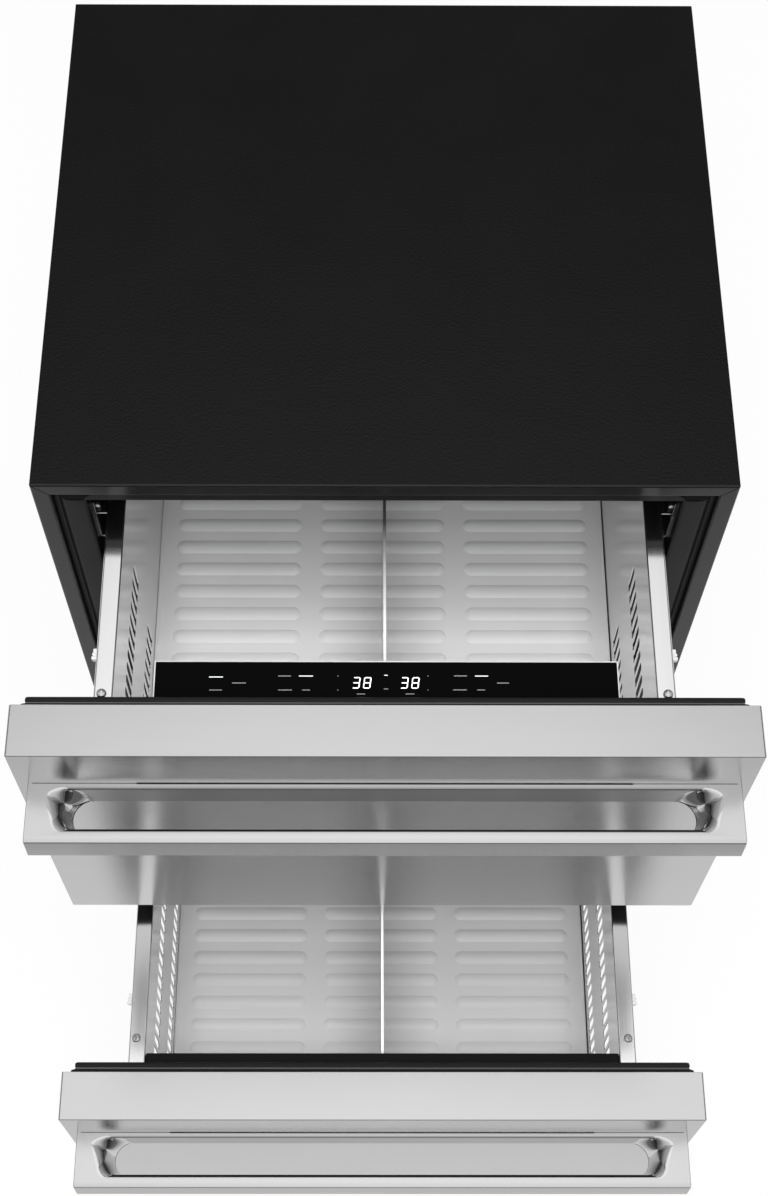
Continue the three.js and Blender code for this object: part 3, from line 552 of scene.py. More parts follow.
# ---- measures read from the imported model
class Drawer:
    """Places of one drawer."""

    def __init__(self, prefix):
        self.prefix = prefix
        self.body = f"{prefix}_drawer"
        low, high = self.box("front_skin")
        self.half, self.face, self.back, self.bottom, self.top = high.x, low.y, high.y, low.z, high.z
        low, high = self.box("handle")
        self.grip_half, self.grip_bottom, self.grip_top = high.x, low.z, high.z
        low, high = self.box("box_walls")
        self.rim_half, self.wall_front, self.wall_back = high.x, low.y, high.y
        self.wall_bottom, self.rim = low.z, high.z
        low, high = self.box("tray")
        self.tray_half, self.tray_front, self.tray_back, self.tray_top = high.x, low.y, high.y, high.z

    def name(self, part):
        return f"{self.prefix}_{part}"

    def box(self, part):
        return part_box(self.name(part))

    def mount(self, obj, slot, *parts):
        """Mounts a piece on the drawer, in place of the drawer's parts named."""
        mount(obj, self.body, slot, *map(self.name, parts))


SHELL_LOW, SHELL_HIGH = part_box("cabinet_shell")
HALF, FRONT_Y, REAR_Y, TOP_Z = SHELL_HIGH.x, SHELL_LOW.y, SHELL_HIGH.y, SHELL_HIGH.z
TOE_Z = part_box("lower_front_skin")[0].z
TOE_Y = FRONT_Y + 57 * MM        # back of the toe recess
BASE_Z = SHELL_LOW.z
LINER_T = 2 * MM
OPEN_R = 11 * MM


def opening(prefix):
    """Edges of a drawer's opening in the cabinet: x0, x1, z0, z1."""
    low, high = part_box(f"{prefix}_liner")
    return low.x + LINER_T, high.x - LINER_T, low.z + LINER_T, high.z - LINER_T


# ---- cabinet
SHEET = 1.2 * MM
CORNER_R = 1.3 * MM
BEND_R = 1.9 * MM
FOLD_W = 16 * MM
FOLD_RETURN = 7 * MM
REAR_FOLD_W = 14 * MM
REAR_FOLD_FOOT = 176 * MM        # above the foot of the sides
MITRE_GAP = 0.6 * MM


def fold_path(width, start, toward):
    """Section of a folded edge as (depth below the outer face, y); toward is +1 into the cabinet."""
    steps = 5
    path = [(0, BEND_R)] + arc(BEND_R, BEND_R, BEND_R, 180, 270, steps)[1:]
    path += arc(width - BEND_R, BEND_R, BEND_R, 270, 360, steps) + [(width, FOLD_RETURN)]
    return [(s, start + toward * y) for s, y in path]


def cabinet_folds(name, width, start, toward, foot):
    """Folded edge along the top and both sides, mitred at the corners."""
    section = thicken(fold_path(width, start, toward), SHEET * toward)
    across = run(f"{name}_top", [(y, TOP_Z - s) for s, y in section], "x",
        lambda y, z: TOP_Z - z + MITRE_GAP - HALF, lambda y, z: HALF - (TOP_Z - z) - MITRE_GAP, fold_paint)
    parts = [across]
    for side in (-1, 1):
        upright = [(side * (HALF - s), y) for s, y in section]
        parts.append(run(f"{name}_side", upright, "z", foot,
            lambda x, y: TOP_Z - (HALF - abs(x)) - MITRE_GAP, fold_paint))
    return parts


def cabinet_wrapper():
    """Painted sheet over the top and sides, with rolled and mitred front and rear edges."""
    parts = cabinet_folds("front_fold", FOLD_W, FRONT_Y, 1, TOE_Z)
    parts += cabinet_folds("rear_fold", REAR_FOLD_W, REAR_Y, -1, BASE_Z + REAR_FOLD_FOOT)
    for y0, y1, foot in ((FRONT_Y + BEND_R, TOE_Y, TOE_Z), (TOE_Y, REAR_Y - BEND_R, BASE_Z)):
        over = [(-HALF, foot)] + arc(-HALF + CORNER_R, TOP_Z - CORNER_R, CORNER_R, 180, 90, 5)
        over += arc(HALF - CORNER_R, TOP_Z - CORNER_R, CORNER_R, 90, 0, 5) + [(HALF, foot)]
        parts.append(run("sheet", thicken(over, -SHEET), "y", y0, y1, black_paint))
    mount(merge("cabinet_wrapper", parts), "cabinet", "black_paint", "cabinet_shell")


# channel round the frame's edge: inset and depth, mm
FRAME_BORDER = [(0, 5.8), (0, 4.6), (0.8, 4.0), (4.2, 4.0), (5.8, 3.4), (8.6, 0.6), (10.4, 0)]
FRAME_EDGE_R = 2.6 * MM
FRAME_DEPTH, FRAME_GAP = mm(5.8, 0.1)
SHELF_T = 1.5 * MM


def face_frame():
    """Front frame: a soft channel round its edge and round edges into both openings."""
    low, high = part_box("front_frame")
    r, back = FRAME_EDGE_R, low.y + FRAME_DEPTH
    bm = bmesh.new()
    profile = [(inset * MM, low.y + depth * MM) for inset, depth in FRAME_BORDER]
    reach = HALF - FOLD_W - FRAME_GAP
    border = loft(bm, rect_rings((-reach, reach, TOE_Z, TOP_Z - FOLD_W - FRAME_GAP), profile, 0.6 * MM, 2))
    edge = arc(0, low.y + r, r, -90, 0, 5) + [(r, back)]
    fronts, backs = [], []
    for prefix in DRAWERS:
        x0, x1, z0, z1 = opening(prefix)
        rings = loft(bm, rect_rings((x0 - r, x1 + r, z0 - r, z1 + r), edge, OPEN_R + r, 8))
        fronts.append(rings[0])
        backs.append(rings[-1])
    fill_between(bm, border[-1], *fronts)
    fill_between(bm, border[0], *backs)
    plate = add_object("plate", bm, frame_paint, 40)
    shelf = soft_block("shelf", (low.x, back, TOE_Z), (high.x, high.y, TOE_Z + SHELF_T), 0.4 * MM,
        frame_paint, 2)
    mount(merge("face_frame", [plate, shelf], 40), "cabinet", "grey_frame", "front_frame")


# ---- toe grille, rear panel, legs
def slot_tool(length, height, depth):
    """A lying pill, run along y, for cutting or pressing rows of openings."""
    outline = round_rect(-length / 2, length / 2, -height / 2, height / 2, height / 2 - 0.01 * MM, 4)
    return run("slot_tool", outline, "y", -depth / 2, depth / 2, None)


GRILLE_L, GRILLE_H, GRILLE_BRIDGE = mm(258, 6, 12)      # openings, in two columns
GRILLE_FOOT, GRILLE_HEAD = mm(14, 3.5)
GRILLE_ROWS = 5
LOUVRE_TILT = 35
LOUVRE_W, LOUVRE_T, LOUVRE_OVER = mm(6, 1.1, 1)
LOUVRE_SET, LOUVRE_DROP = mm(1.5, 3.6)


def toe_grille():
    """Two columns of openings, with a tilted louvre behind each."""
    low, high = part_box("toe_grille")
    plate = soft_block("toe_louvres", low, high, 0.9 * MM, black_plastic, 2)
    pitch = (0, 0, (TOE_Z - low.z - GRILLE_FOOT - GRILLE_HEAD) / GRILLE_ROWS)
    column = (GRILLE_L + GRILLE_BRIDGE, 0, 0)
    tool = slot_tool(GRILLE_L, GRILLE_H, 30 * MM)
    x, z = -column[0] / 2, low.z + GRILLE_FOOT
    repeat(plate, tool, (x, (low.y + high.y) / 2, z), 2, column, GRILLE_ROWS, pitch, True, black_plastic)
    lean = math.tan(math.radians(LOUVRE_TILT)) * LOUVRE_W
    section = [(0, 0), (LOUVRE_W, lean), (LOUVRE_W, lean + LOUVRE_T), (0, LOUVRE_T)]
    reach = GRILLE_L / 2 + LOUVRE_OVER
    blade = run("blade", section, "x", -reach, reach, black_plastic)
    repeat(plate, blade, (x, high.y - LOUVRE_SET, z - LOUVRE_DROP), 2, column, GRILLE_ROWS, pitch, False,
        black_plastic)
    discard(tool, blade)
    mount(plate, "cabinet", "black_plastic", "toe_grille")


SCREW_R, SHANK_L = mm(4.3, 7)


def pan_screw():
    """Pan head screw with a Phillips recess, its underside at z = 0."""
    radius, height, shank = SCREW_R, SCREW_R * 0.6, SCREW_R * 0.42
    points = [(shank, -SHANK_L), (shank, 0), (radius * 0.96, 0), (radius, height * 0.2)]
    for turn in map(math.radians, (15, 35, 55, 72, 86)):
        points.append((radius * math.cos(turn), height * (0.25 + 0.75 * math.sin(turn))))
    head = turned("screw", points, polished_steel)
    reach, arm, floor = radius * 0.68, radius * 0.21, height - radius * 0.42
    cross = [soft_block("recess", (-a, -b, floor), (a, b, height + 1 * MM), 0.08 * MM, black_plastic, 1)
             for a, b in ((reach, arm), (arm, reach))]
    return carve(head, *cross)


# levelling leg: radius and height, mm
LEG_FOOT = [(0.1, 0), (16.2, 0), (17.6, 0.6), (18, 1.6), (18, 4.3), (17.4, 4.9), (12.5, 5.8), (9.4, 7.6),
            (8, 10.2), (8, 12.6)]
THREAD_ROOT, THREAD_CREST, THREAD_PITCH, THREAD_FOOT = 4.4, 5.0, 1.7, 13.6
LEG_TURNS = 22
STUD_TOP = 51


def leg(name, node, body):
    """Levelling leg: a wide foot, a plain shank and a threaded stud."""
    low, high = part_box(node)
    points = list(LEG_FOOT)
    for turn in range(LEG_TURNS):
        z = THREAD_FOOT + turn * THREAD_PITCH
        points += [(THREAD_ROOT, z), (THREAD_CREST, z + THREAD_PITCH / 2)]
    points = [(r * MM, low.z + z * MM) for r, z in points + [(THREAD_ROOT, STUD_TOP)]]
    obj = turned(name, points, zinc, ((low.x + high.x) / 2, (low.y + high.y) / 2, 0))
    mount(obj, body, "zinc", node)


VENT_L, VENT_H, VENT_BRIDGE = mm(210, 5, 60)
VENT_FOOT, VENT_PITCH = mm(28.5, 12)
VENT_ROWS = 9
REAR_SCREW_EDGE = 8 * MM
REAR_SCREW_COLUMNS, REAR_SCREW_ROWS = 5, 6


def rear_panel(screw):
    """Galvanised back with rows of pressed vents and its screws."""
    low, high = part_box("rear_panel")
    panel = soft_block("rear_cover", low, high, 0.3 * MM, galvanised, 1)
    tool = slot_tool(VENT_L, VENT_H, 10 * MM)
    column = (VENT_L + VENT_BRIDGE, 0, 0)
    repeat(panel, tool, (-column[0] / 2, (low.y + high.y) / 2, BASE_Z + VENT_FOOT), 2, column, VENT_ROWS,
        (0, 0, VENT_PITCH), True, galvanised)
    turned_back = shifted("rear_screw", screw, (0, 0, 0))
    for v in turned_back.data.vertices:
        v.co = (v.co.x, v.co.z, v.co.y)
    turned_back.data.flip_normals()
    edge = REAR_SCREW_EDGE
    across = (high.x - low.x - 2 * edge) / (REAR_SCREW_COLUMNS - 1)
    up = (high.z - low.z - 2 * edge) / (REAR_SCREW_ROWS - 1)
    repeat(panel, turned_back, (low.x + edge, high.y, low.z + edge), REAR_SCREW_COLUMNS, (across, 0, 0),
        REAR_SCREW_ROWS, (0, 0, up), False, zinc)
    discard(tool, turned_back)
    mount(panel, "cabinet", "galvanised", "rear_panel")


# ---- slides
RAIL_T = 1.5 * MM
RAIL_BEND = 1.9 * MM
RAIL_AXIS = 21 * MM              # middle of the slide above the foot of the cabinet rail
TAB_FOOT = 17 * MM               # foot of the front tab above the axis
STOP_FOOTS = mm(22, 8)           # foot of the stop above the axis, on a tall tab and on a low one
TALL_TAB = 30 * MM
STOP_OUT, STOP_L = mm(6.9, 17)
BOSS_IN, BOSS_DROP = mm(4.2, 5)
BALL_R, BALL_PITCH, BALL_FIRST = mm(1.15, 8.5, 10)
CAGE_HALF = mm(0.9, 0.35)        # half its width and height
CAGE_END = 5 * MM


def rail_box(node):
    """Box of a rail, then its distances from the middle of the cabinet, near and far."""
    low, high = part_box(node)
    return low, high, *sorted((abs(low.x), abs(high.x)))


def channel_section(side, web, lip, low, high):
    """Section of a C rail, web and lip given as distances from the middle of the cabinet."""
    inward = -1 if lip < web else 1
    bends = arc(-RAIL_BEND, low + RAIL_BEND, RAIL_BEND, -90, 0, 4)
    bends += arc(-RAIL_BEND, high - RAIL_BEND, RAIL_BEND, 0, 90, 4)
    path = [(lip, low)] + [(web - inward * x, z) for x, z in bends] + [(lip, high)]
    return [(side * x, z) for x, z in thicken(path, -inward * RAIL_T)]


def cabinet_rail(d, tag, side):
    """Fixed rail: a channel, and a front tab with its black end stop."""
    node = d.name(f"cabinet_rail_{tag}")
    low, high, inner, outer = rail_box(node)
    axis = low.z + RAIL_AXIS
    section = channel_section(side, outer, inner, low.z, axis + RAIL_AXIS)
    channel = run("channel", section, "y", low.y, high.y, zinc)
    tab_x = sorted((side * outer, side * (outer - RAIL_T)))
    tab = soft_block("tab", (tab_x[0], low.y, axis + TAB_FOOT), (tab_x[1], high.y, high.z), 0.3 * MM, zinc, 2)
    stop_x = sorted((side * (outer - RAIL_T - 0.1 * MM), side * (outer - STOP_OUT)))
    stop_foot = axis + STOP_FOOTS[0 if high.z > axis + TALL_TAB else 1]
    stop = soft_block("stop", (stop_x[0], low.y + 0.3 * MM, stop_foot),
        (stop_x[1], low.y + STOP_L, high.z - 0.6 * MM), 1.0 * MM, black_plastic)
    boss_at = (side * (outer - BOSS_IN), low.y + 0.4 * MM, high.z - BOSS_DROP)
    boss_points = [(2.4 * MM, 0), (2.4 * MM, -0.5 * MM), (1.2 * MM, -0.6 * MM)]
    boss = turned("boss", boss_points, zinc, boss_at, True, 20)
    mount(merge(d.name(f"outer_slide_{tag}"), [channel, tab, stop, boss]), "cabinet", "zinc", node)


def middle_rail(d, tag, side, ball):
    """Middle rail: an I beam with balls in a cage in each of its four races."""
    node = d.name(f"middle_rail_{tag}")
    low, high, inner, outer = rail_box(node)
    axis = (low.z + high.z) / 2
    web, flange, t = inner + 5.75 * MM, 17 * MM, 0.75 * MM
    half = [(web - t, -flange + 2 * t), (inner, -flange + 2 * t), (inner, -flange), (outer, -flange),
            (outer, -flange + 2 * t), (web + t, -flange + 2 * t)]
    outline = [(side * x, axis + z) for x, z in half + [(x, -z) for x, z in reversed(half)]]
    beam = bevel(run("beam", outline, "y", low.y, high.y, zinc), 0.35 * MM, 2)
    cage_w, cage_h = CAGE_HALF
    count = int((high.y - low.y - 2 * BALL_FIRST) / BALL_PITCH)
    for x, reach in ((outer - 1.2 * MM, 18.1 * MM), (inner + 1.5 * MM, 14.3 * MM)):
        for z in (axis - reach, axis + reach):
            cage = soft_block("cage", (side * x - cage_w, low.y + CAGE_END, z - cage_h),
                (side * x + cage_w, high.y - CAGE_END, z + cage_h), 0.1 * MM, galvanised, 1)
            beam = merge("beam", [beam, cage])
            repeat(beam, ball, (side * x, low.y + BALL_FIRST, z), count, (0, BALL_PITCH, 0),
                material=polished_steel)
    beam.name = d.name(f"ball_slide_{tag}")
    mount(beam, d.name("middle_rails"), "zinc", node)


def box_rail(d, tag, side):
    low, high, inner, outer = rail_box(d.name(f"box_rail_{tag}"))
    section = channel_section(side, inner, outer, low.z, high.z)
    obj = run(d.name(f"inner_slide_{tag}"), section, "y", low.y, high.y, zinc)
    d.mount(obj, "zinc", f"box_rail_{tag}")


CLIP_BEHIND_FRONT = {"upper": 66 * MM, "lower": 72 * MM}
CLIP_DROP = 8 * MM               # below the rim
CLIP_W, CLIP_H = 3.25 * MM, 4.2
# lugs of the clip: start and end along y, and how much further out and up they stand, mm
CLIP_LUGS = ((0, 11, 0, 0), (0.6, 3.4, 1.0, 0.9), (4.6, 6.6, 0.7, 0.5))


def release_clip(d, tag, side):
    """White plastic lever that frees the drawer from its slide, just outside the rim."""
    y, z = d.back + CLIP_BEHIND_FRONT[d.prefix], d.rim - CLIP_DROP
    near = d.rim_half + 0.15 * MM
    parts = []
    for y0, y1, out, rise in CLIP_LUGS:
        x0, x1 = sorted((side * near, side * (near + CLIP_W + out * MM)))
        parts.append(soft_block("lever", (x0, y + y0 * MM, z), (x1, y + y1 * MM, z + (CLIP_H + rise) * MM),
            0.6 * MM, white_plastic))
    d.mount(merge(d.name(f"release_clip_{tag}"), parts), "lens")


# ---- drawer fronts
EDGE_R = 1.1 * MM
HEM = 9 * MM


def front_skin(d):
    """Folded stainless front with soft edges and a hem at the back."""
    profile = [(HEM, d.back - 0.9 * MM), (HEM, d.back), (EDGE_R * 0.4, d.back), (0, d.back - EDGE_R * 0.4)]
    profile += [(EDGE_R + u, d.face + EDGE_R + v) for u, v in arc(0, 0, EDGE_R, 180, 270, 5)]
    outer = (-d.half, d.half, d.bottom, d.top)
    obj = ring_piece(d.name("front_panel"), outer, profile, 1.8 * MM, front_steel, 50, caps=[-1])
    paint_faces(obj, black_plastic, lambda face: face.normal.z < -0.9)
    map_brushing(obj)
    d.mount(obj, "stainless", "front_skin")


# raised field of the inner face: inset and height, mm
PANEL_STEP = [(0, 0), (1.2, 0.5), (3.0, 5.6), (4.6, 7.4), (6.8, 8.0)]
FIELD_INSET_X, FIELD_INSET_Z, FIELD_R = mm(51.5, 22.5, 14)


def inner_panel(d):
    """Moulded inner face of the front, with a raised field inside the gasket."""
    low, high = d.box("inner_panel")
    slab = soft_block("slab", low, (high.x, d.back + 0.05 * MM, high.z), 0.5 * MM, black_plastic, 2)
    field = (low.x + FIELD_INSET_X, high.x - FIELD_INSET_X, low.z + FIELD_INSET_Z, high.z - FIELD_INSET_Z)
    profile = [(inset * MM, d.back + height * MM) for inset, height in PANEL_STEP]
    raised = ring_piece("field", field, profile, FIELD_R, black_plastic, caps=[0, -1])
    d.mount(merge(d.name("inner_face"), [slab, raised]), "black_plastic", "inner_panel")


GASKET_INSET_X, GASKET_INSET_Z = mm(2, 4.5)
# section of the gasket: inset and depth, mm
GASKET_PROFILE = [(13, 0), (-0.8, 0), (-1.1, 1.6), (-0.6, 3.4), (2.6, 4.6), (3.4, 6.2), (2.8, 7.0),
                  (2.6, 8.6), (3.1, 10.4), (4.8, 11.5), (10.6, 11.5), (12.6, 10.4), (13, 8)]
GROOVE_DEPTH = 5.4 * MM          # middle of the groove behind the foot, where a grey highlight line is painted


def gasket(d):
    """Magnetic gasket: a foot, a bellows and a round bulb, run round the back of the front."""
    low, high = d.box("gasket")
    profile = [(inset * MM, low.y + depth * MM) for inset, depth in GASKET_PROFILE]
    outer = (low.x + GASKET_INSET_X, high.x - GASKET_INSET_X, low.z + GASKET_INSET_Z, high.z - GASKET_INSET_Z)
    obj = ring_piece(d.name("seal"), outer, profile, 4 * MM, rubber, 40, loop=True)
    # painted highlight: faces along the groove are painted lighter grey
    paint_faces(obj, seal_groove, lambda face: abs(face.center.y - low.y - GROOVE_DEPTH) < 0.5 * MM)
    d.mount(obj, "rubber", "gasket")


# ---- handles
GRIP_WALL_BACK = 4.8 * MM        # finger opening behind the face of the front
GRIP_WALL_FRONT = 38.8 * MM
# levels of the scoops: share of the height, inset of the end and corner radius, mm
SCOOP = [(0.0, 22.5, 8), (0.005, 23.2, 9), (0.02, 24.1, 10), (0.057, 25.2, 11.4), (0.1, 26.2, 13),
         (0.17, 27.4, 14.4), (0.27, 28.9, 15.6), (0.42, 30.6, 16.6), (0.6, 32.6, 17.4), (0.8, 34.3, 17.9),
         (0.94, 34.8, 18), (1.0, 35.0, 18)]
SCOOP_L = 24 * MM                # polished length beyond the inset, at each end
LEAF = 7.5 * MM                  # how much further each scoop reaches at its back corner
LEAF_FROM, LEAF_WIDTH = 0.5, 0.35      # where it starts across the opening, and over how much it grows
GRIP_OUTLINE = [(0, 0), (46.5, 0), (48.5, 0.2), (50.9, 1.3), (51.4, 2.4), (53, 26.6), (51.6, 28), (0, 28)]
GRIP_END_R = 0.5 * MM
GRIP_ROLL = 1.6 * MM             # rolled edge of the finger opening, at its back and ends
FRONT_ROLL = 4.0 * MM            # and at its front
GRIP_PAINTED_DARK = mm(0.14, 1.7)        # depths between which the opening's rolled front edge is painted black, a painted dark reflection
GRIP_FOOT_PAINTED_SHADE = 1.6 * MM        # and the height of painted shade, black, at the foot of the scoops
GRIP_JOINTS = ((290 * MM, 0.3 * MM), (204 * MM, 0.8 * MM))      # half length and width of the joint line


def rolled_in(depth, roll):
    """How far a rolled edge stands back, at a depth below its top."""
    return roll * (1 - math.sqrt(1 - max(0, 1 - depth / roll) ** 2))


def scoop_ring(d, share, inset, radius):
    """One level of the finger opening: share is its depth as a share of the handle's height."""
    depth = share * (d.grip_top - d.grip_bottom)
    spread = rolled_in(depth, GRIP_ROLL)
    hx = d.grip_half - inset * MM + spread
    y0, y1 = d.face - GRIP_WALL_FRONT - rolled_in(depth, FRONT_ROLL), d.face - GRIP_WALL_BACK + spread
    r = min(radius * MM + spread, (y1 - y0) / 2 - 1e-5)
    ring = []
    for x, y in round_rect(-hx, hx, y0, y1, r, 12):
        outward = min(1, max(0, (abs(x) - hx + r) / r))
        backward = min(1, max(0, ((y - y0) / (y1 - y0) - LEAF_FROM) / LEAF_WIDTH))
        lead = LEAF * (1 - share) ** 3 * outward * backward * backward * (3 - 2 * backward)
        ring.append((x + math.copysign(lead, x), y, d.grip_top - depth))
    return ring


def grip_bar(bm, d):
    """Long faces and ends of the bar. Returns the corners of its open top and underside."""
    outline = [Vector((d.face - y * MM, d.grip_top - z * MM)) for y, z in GRIP_OUTLINE]
    centre = sum(outline, Vector((0, 0))) / len(outline)
    end = d.grip_half - GRIP_END_R
    sections = []
    for x, shrink in ((-d.grip_half, GRIP_END_R), (-end, 0), (end, 0), (d.grip_half, GRIP_END_R)):
        ring = []
        for p in outline:
            pulled = centre + (p - centre) * (1 - shrink / (p - centre).length)
            ring.append((x, p.x if abs(p.x - d.face) < 1e-6 else pulled.x, pulled.y))
        sections.append([bm.verts.new(p) for p in ring])
    head, first, last, tail = sections
    top_and_underside = 0, len(outline) - 2
    bridge(bm, head, first)
    bridge(bm, first, last, top_and_underside)
    bridge(bm, last, tail)
    bm.faces.new(head)
    bm.faces.new(tail)
    return [(first[k], first[k + 1], last[k + 1], last[k]) for k in top_and_underside]


def paint_opening(obj, d):
    """Polished scoops of the finger opening, with painted shade: darker steel on the back wall and black at
    the foot of the scoops, and a painted dark reflection as a black line along the rolled front edge.
    """
    mouth = d.grip_half - SCOOP[0][1] * MM
    inner_end, outer_end = mouth - SCOOP_L, mouth + GRIP_ROLL + LEAF
    front, back = d.face - GRIP_WALL_FRONT - FRONT_ROLL, d.face - GRIP_WALL_BACK + GRIP_ROLL

    def inside(face):
        return d.grip_bottom + 0.01 * MM < face.center.z < d.grip_top - 0.01 * MM

    def in_scoop(face):
        return inner_end < abs(face.center.x) < outer_end and front < face.center.y < back

    def near(face, wall, roll):
        return abs(face.center.x) < inner_end and abs(face.center.y - wall) < roll + 0.1 * MM

    def painted_dark(face):
        depth, height = d.grip_top - face.center.z, face.center.z - d.grip_bottom
        return (near(face, front, FRONT_ROLL) and GRIP_PAINTED_DARK[0] < depth < GRIP_PAINTED_DARK[1]
                or in_scoop(face) and 0 < height < GRIP_FOOT_PAINTED_SHADE)

    paint_faces(obj, polished_steel, lambda face: in_scoop(face) and inside(face))
    # painted shade: the back wall inside the opening is darker steel
    paint_faces(obj, opening_steel, lambda face: near(face, back, GRIP_ROLL) and inside(face))
    # painted dark reflection on the front roll and painted shade at the scoops' foot, in black
    paint_faces(obj, black_plastic, painted_dark)


def handle(d):
    """Square bar handle with a polished scoop at each end of the finger opening."""
    bm = bmesh.new()
    top, underside = grip_bar(bm, d)
    rings = loft(bm, [scoop_ring(d, *level) for level in SCOOP])
    for corners, ring in ((top, rings[0]), (underside, rings[-1])):
        edges = ring_edges(bm, ring)
        for i in range(4):
            pair = (corners[i], corners[(i + 1) % 4])
            edges.append(bm.edges.get(pair) or bm.edges.new(pair))
        bmesh.ops.triangle_fill(bm, use_beauty=True, use_dissolve=False, edges=edges)
    obj = add_object(d.name("grip"), bm, handle_steel, 25)
    paint_opening(obj, d)
    for half, width in GRIP_JOINTS:
        carve(obj, soft_block("joint", (-half, d.face - width, d.grip_bottom - 1 * MM),
            (half, d.face + 1 * MM, d.grip_top + 1 * MM), 0.05 * MM, handle_steel, 1))
    soften(obj, 25)
    map_brushing(obj)
    d.mount(obj, "handle_steel", "handle")


# ---- drawer boxes
BOX_SHEET = 0.7 * MM
BOX_BEND_R = 1.6 * MM
BOX_FOOT_W = 16 * MM             # foot of each side, under the tray
LIP_H = 7 * MM
SLOT_W, SLOT_H = mm(7.4, 42)
SLOT_PITCH, SLOT_FIRST = mm(12.2, 32.4)
SLOT_ROWS_BELOW_RIM = mm(91, 210)      # middle of each row
SLOT_COUNT = {"upper": 14, "lower": 20}
BOX_HALF = 228 * MM
BACK_BELOW_RIM = 20 * MM


def slot_cutter():
    """A pill standing upright, cut through a wall along x."""
    outline = round_rect(-SLOT_W / 2, SLOT_W / 2, -SLOT_H / 2, SLOT_H / 2, SLOT_W / 2 - 0.01 * MM, 4)
    return run("slot_cutter", outline, "x", -4 * MM, 4 * MM, None)


def wall_sections(side, d):
    """Sections of a box side: its foot, then the wall up over the rim and down its lip."""
    outer, r = d.rim_half, BOX_BEND_R
    foot = [(BOX_HALF - BOX_FOOT_W, d.wall_bottom)]
    foot += arc(BOX_HALF + BOX_SHEET - r, d.wall_bottom + r, r, -90, 0, 4)
    wall = [(BOX_HALF, d.wall_bottom + 0.4 * MM)] + arc(BOX_HALF + r, d.rim - r, r, 180, 90, 5)
    wall += arc(outer - r, d.rim - r, r, 90, 0, 5) + [(outer, d.rim - LIP_H)]
    return [[(side * x, z) for x, z in section]
            for section in (thicken(foot, BOX_SHEET), thicken(wall, -BOX_SHEET))]


def box_walls(d, cutter):
    """Both sides and the back of the folded drawer box, with the rows of slots cut through."""
    upper_row, lower_row = SLOT_ROWS_BELOW_RIM
    rim_from, rim_above = BOX_HALF + BOX_SHEET, d.rim - LIP_H
    parts = []
    for side in (-1, 1):
        foot, upright = wall_sections(side, d)
        parts.append(run("foot", foot, "y", d.wall_front, d.wall_back, satin_steel))
        wall = run("wall", upright, "y", d.wall_front, d.wall_back, satin_steel)
        first = (side * (BOX_HALF + BOX_SHEET / 2), d.back + SLOT_FIRST, d.rim - upper_row)
        repeat(wall, cutter, first, SLOT_COUNT[d.prefix], (0, SLOT_PITCH, 0), 2,
            (0, 0, upper_row - lower_row), True, satin_steel)
        # painted highlight: rim and lip faces are lighter than the walls
        paint_faces(wall, rim_steel,
            lambda face: face.center.z > rim_above and abs(face.center.x) > rim_from)
        parts.append(wall)
    back_half = BOX_HALF + 0.6 * MM
    parts.append(soft_block("back", (-back_half, d.wall_back - BOX_SHEET, d.wall_bottom),
        (back_half, d.wall_back, d.rim - BACK_BELOW_RIM), 0.4 * MM, satin_steel, 2))
    d.mount(merge(d.name("box_sides"), parts), "satin_steel", "box_walls")


RIB_L, RIB_W, RIB_H = mm(128, 15, 2.2)
RIB_PITCH, RIB_COLUMN = mm(25.6, 147)
RIB_ROWS = 14
RIB_FIRST = {"upper": 57.6 * MM, "lower": 38.2 * MM}
RIB_RINGS = 5
RIB_CROWN = 0.97                 # share of the half width that the rings cover
TRAY_T = 3 * MM
TRAY_BEAD_H = 1.0 * MM           # soft bead where the floor meets each side
BEAD_IN = 1.6 * MM


def pressed_rib():
    """One raised pill of the tray, crowned from edge to edge."""
    half = RIB_W / 2
    rings = []
    for k in range(RIB_RINGS + 1):
        inset = half * RIB_CROWN * k / RIB_RINGS
        height = RIB_H * (1 - (1 - inset / half) ** 2)
        outline = round_rect(-RIB_L / 2 + inset, RIB_L / 2 - inset, -half + inset, half - inset,
            half - inset - 0.02 * MM, 5)
        rings.append([(x, y, height) for x, y in outline])
    bm = bmesh.new()
    bm.faces.new(loft(bm, rings)[-1])
    return add_object("pressed_rib", bm, tray_finish, 60)


def tray(d, rib):
    """Floor of the drawer: a flat sheet with three columns of pressed ribs and a bead along each side."""
    floor = d.tray_top - RIB_H
    inside = d.tray_half - BEAD_IN
    # x from and to, foot, head, round edge
    blocks = ((-d.tray_half, d.tray_half, floor - TRAY_T, floor, 1.3 * MM),
              (0.1 * MM - BOX_HALF, -inside, floor - 1 * MM, floor + TRAY_BEAD_H, 0.7 * MM),
              (inside, d.tray_half + 0.9 * MM, floor - 1 * MM, floor + TRAY_BEAD_H, 0.7 * MM))
    sheet = merge(d.name("floor"), [soft_block("sheet", (x0, d.tray_front, z0), (x1, d.tray_back, z1), edge,
        tray_finish) for x0, x1, z0, z1, edge in blocks])
    start = (-RIB_COLUMN, d.back + RIB_FIRST[d.prefix], floor - 0.02 * MM)
    repeat(sheet, rib, start, 3, (RIB_COLUMN, 0, 0), RIB_ROWS, (0, RIB_PITCH, 0), False, tray_finish)
    soften(sheet, 22)
    d.mount(sheet, "light_grey", "tray")


def divider(d):
    """Clear acrylic divider down the middle of the box."""
    low, high = d.box("divider")
    obj = soft_block(d.name("acrylic_divider"), low, high, 0.35 * MM, clear_acrylic, 2)
    # painted shade on the top edge, darker towards the back
    paint_faces(obj, divider_edges_painted_shade[d.prefix], lambda face: face.normal.z > 0.9)
    d.mount(obj, "clear", "divider")


BEAM_CAP = 7 * MM


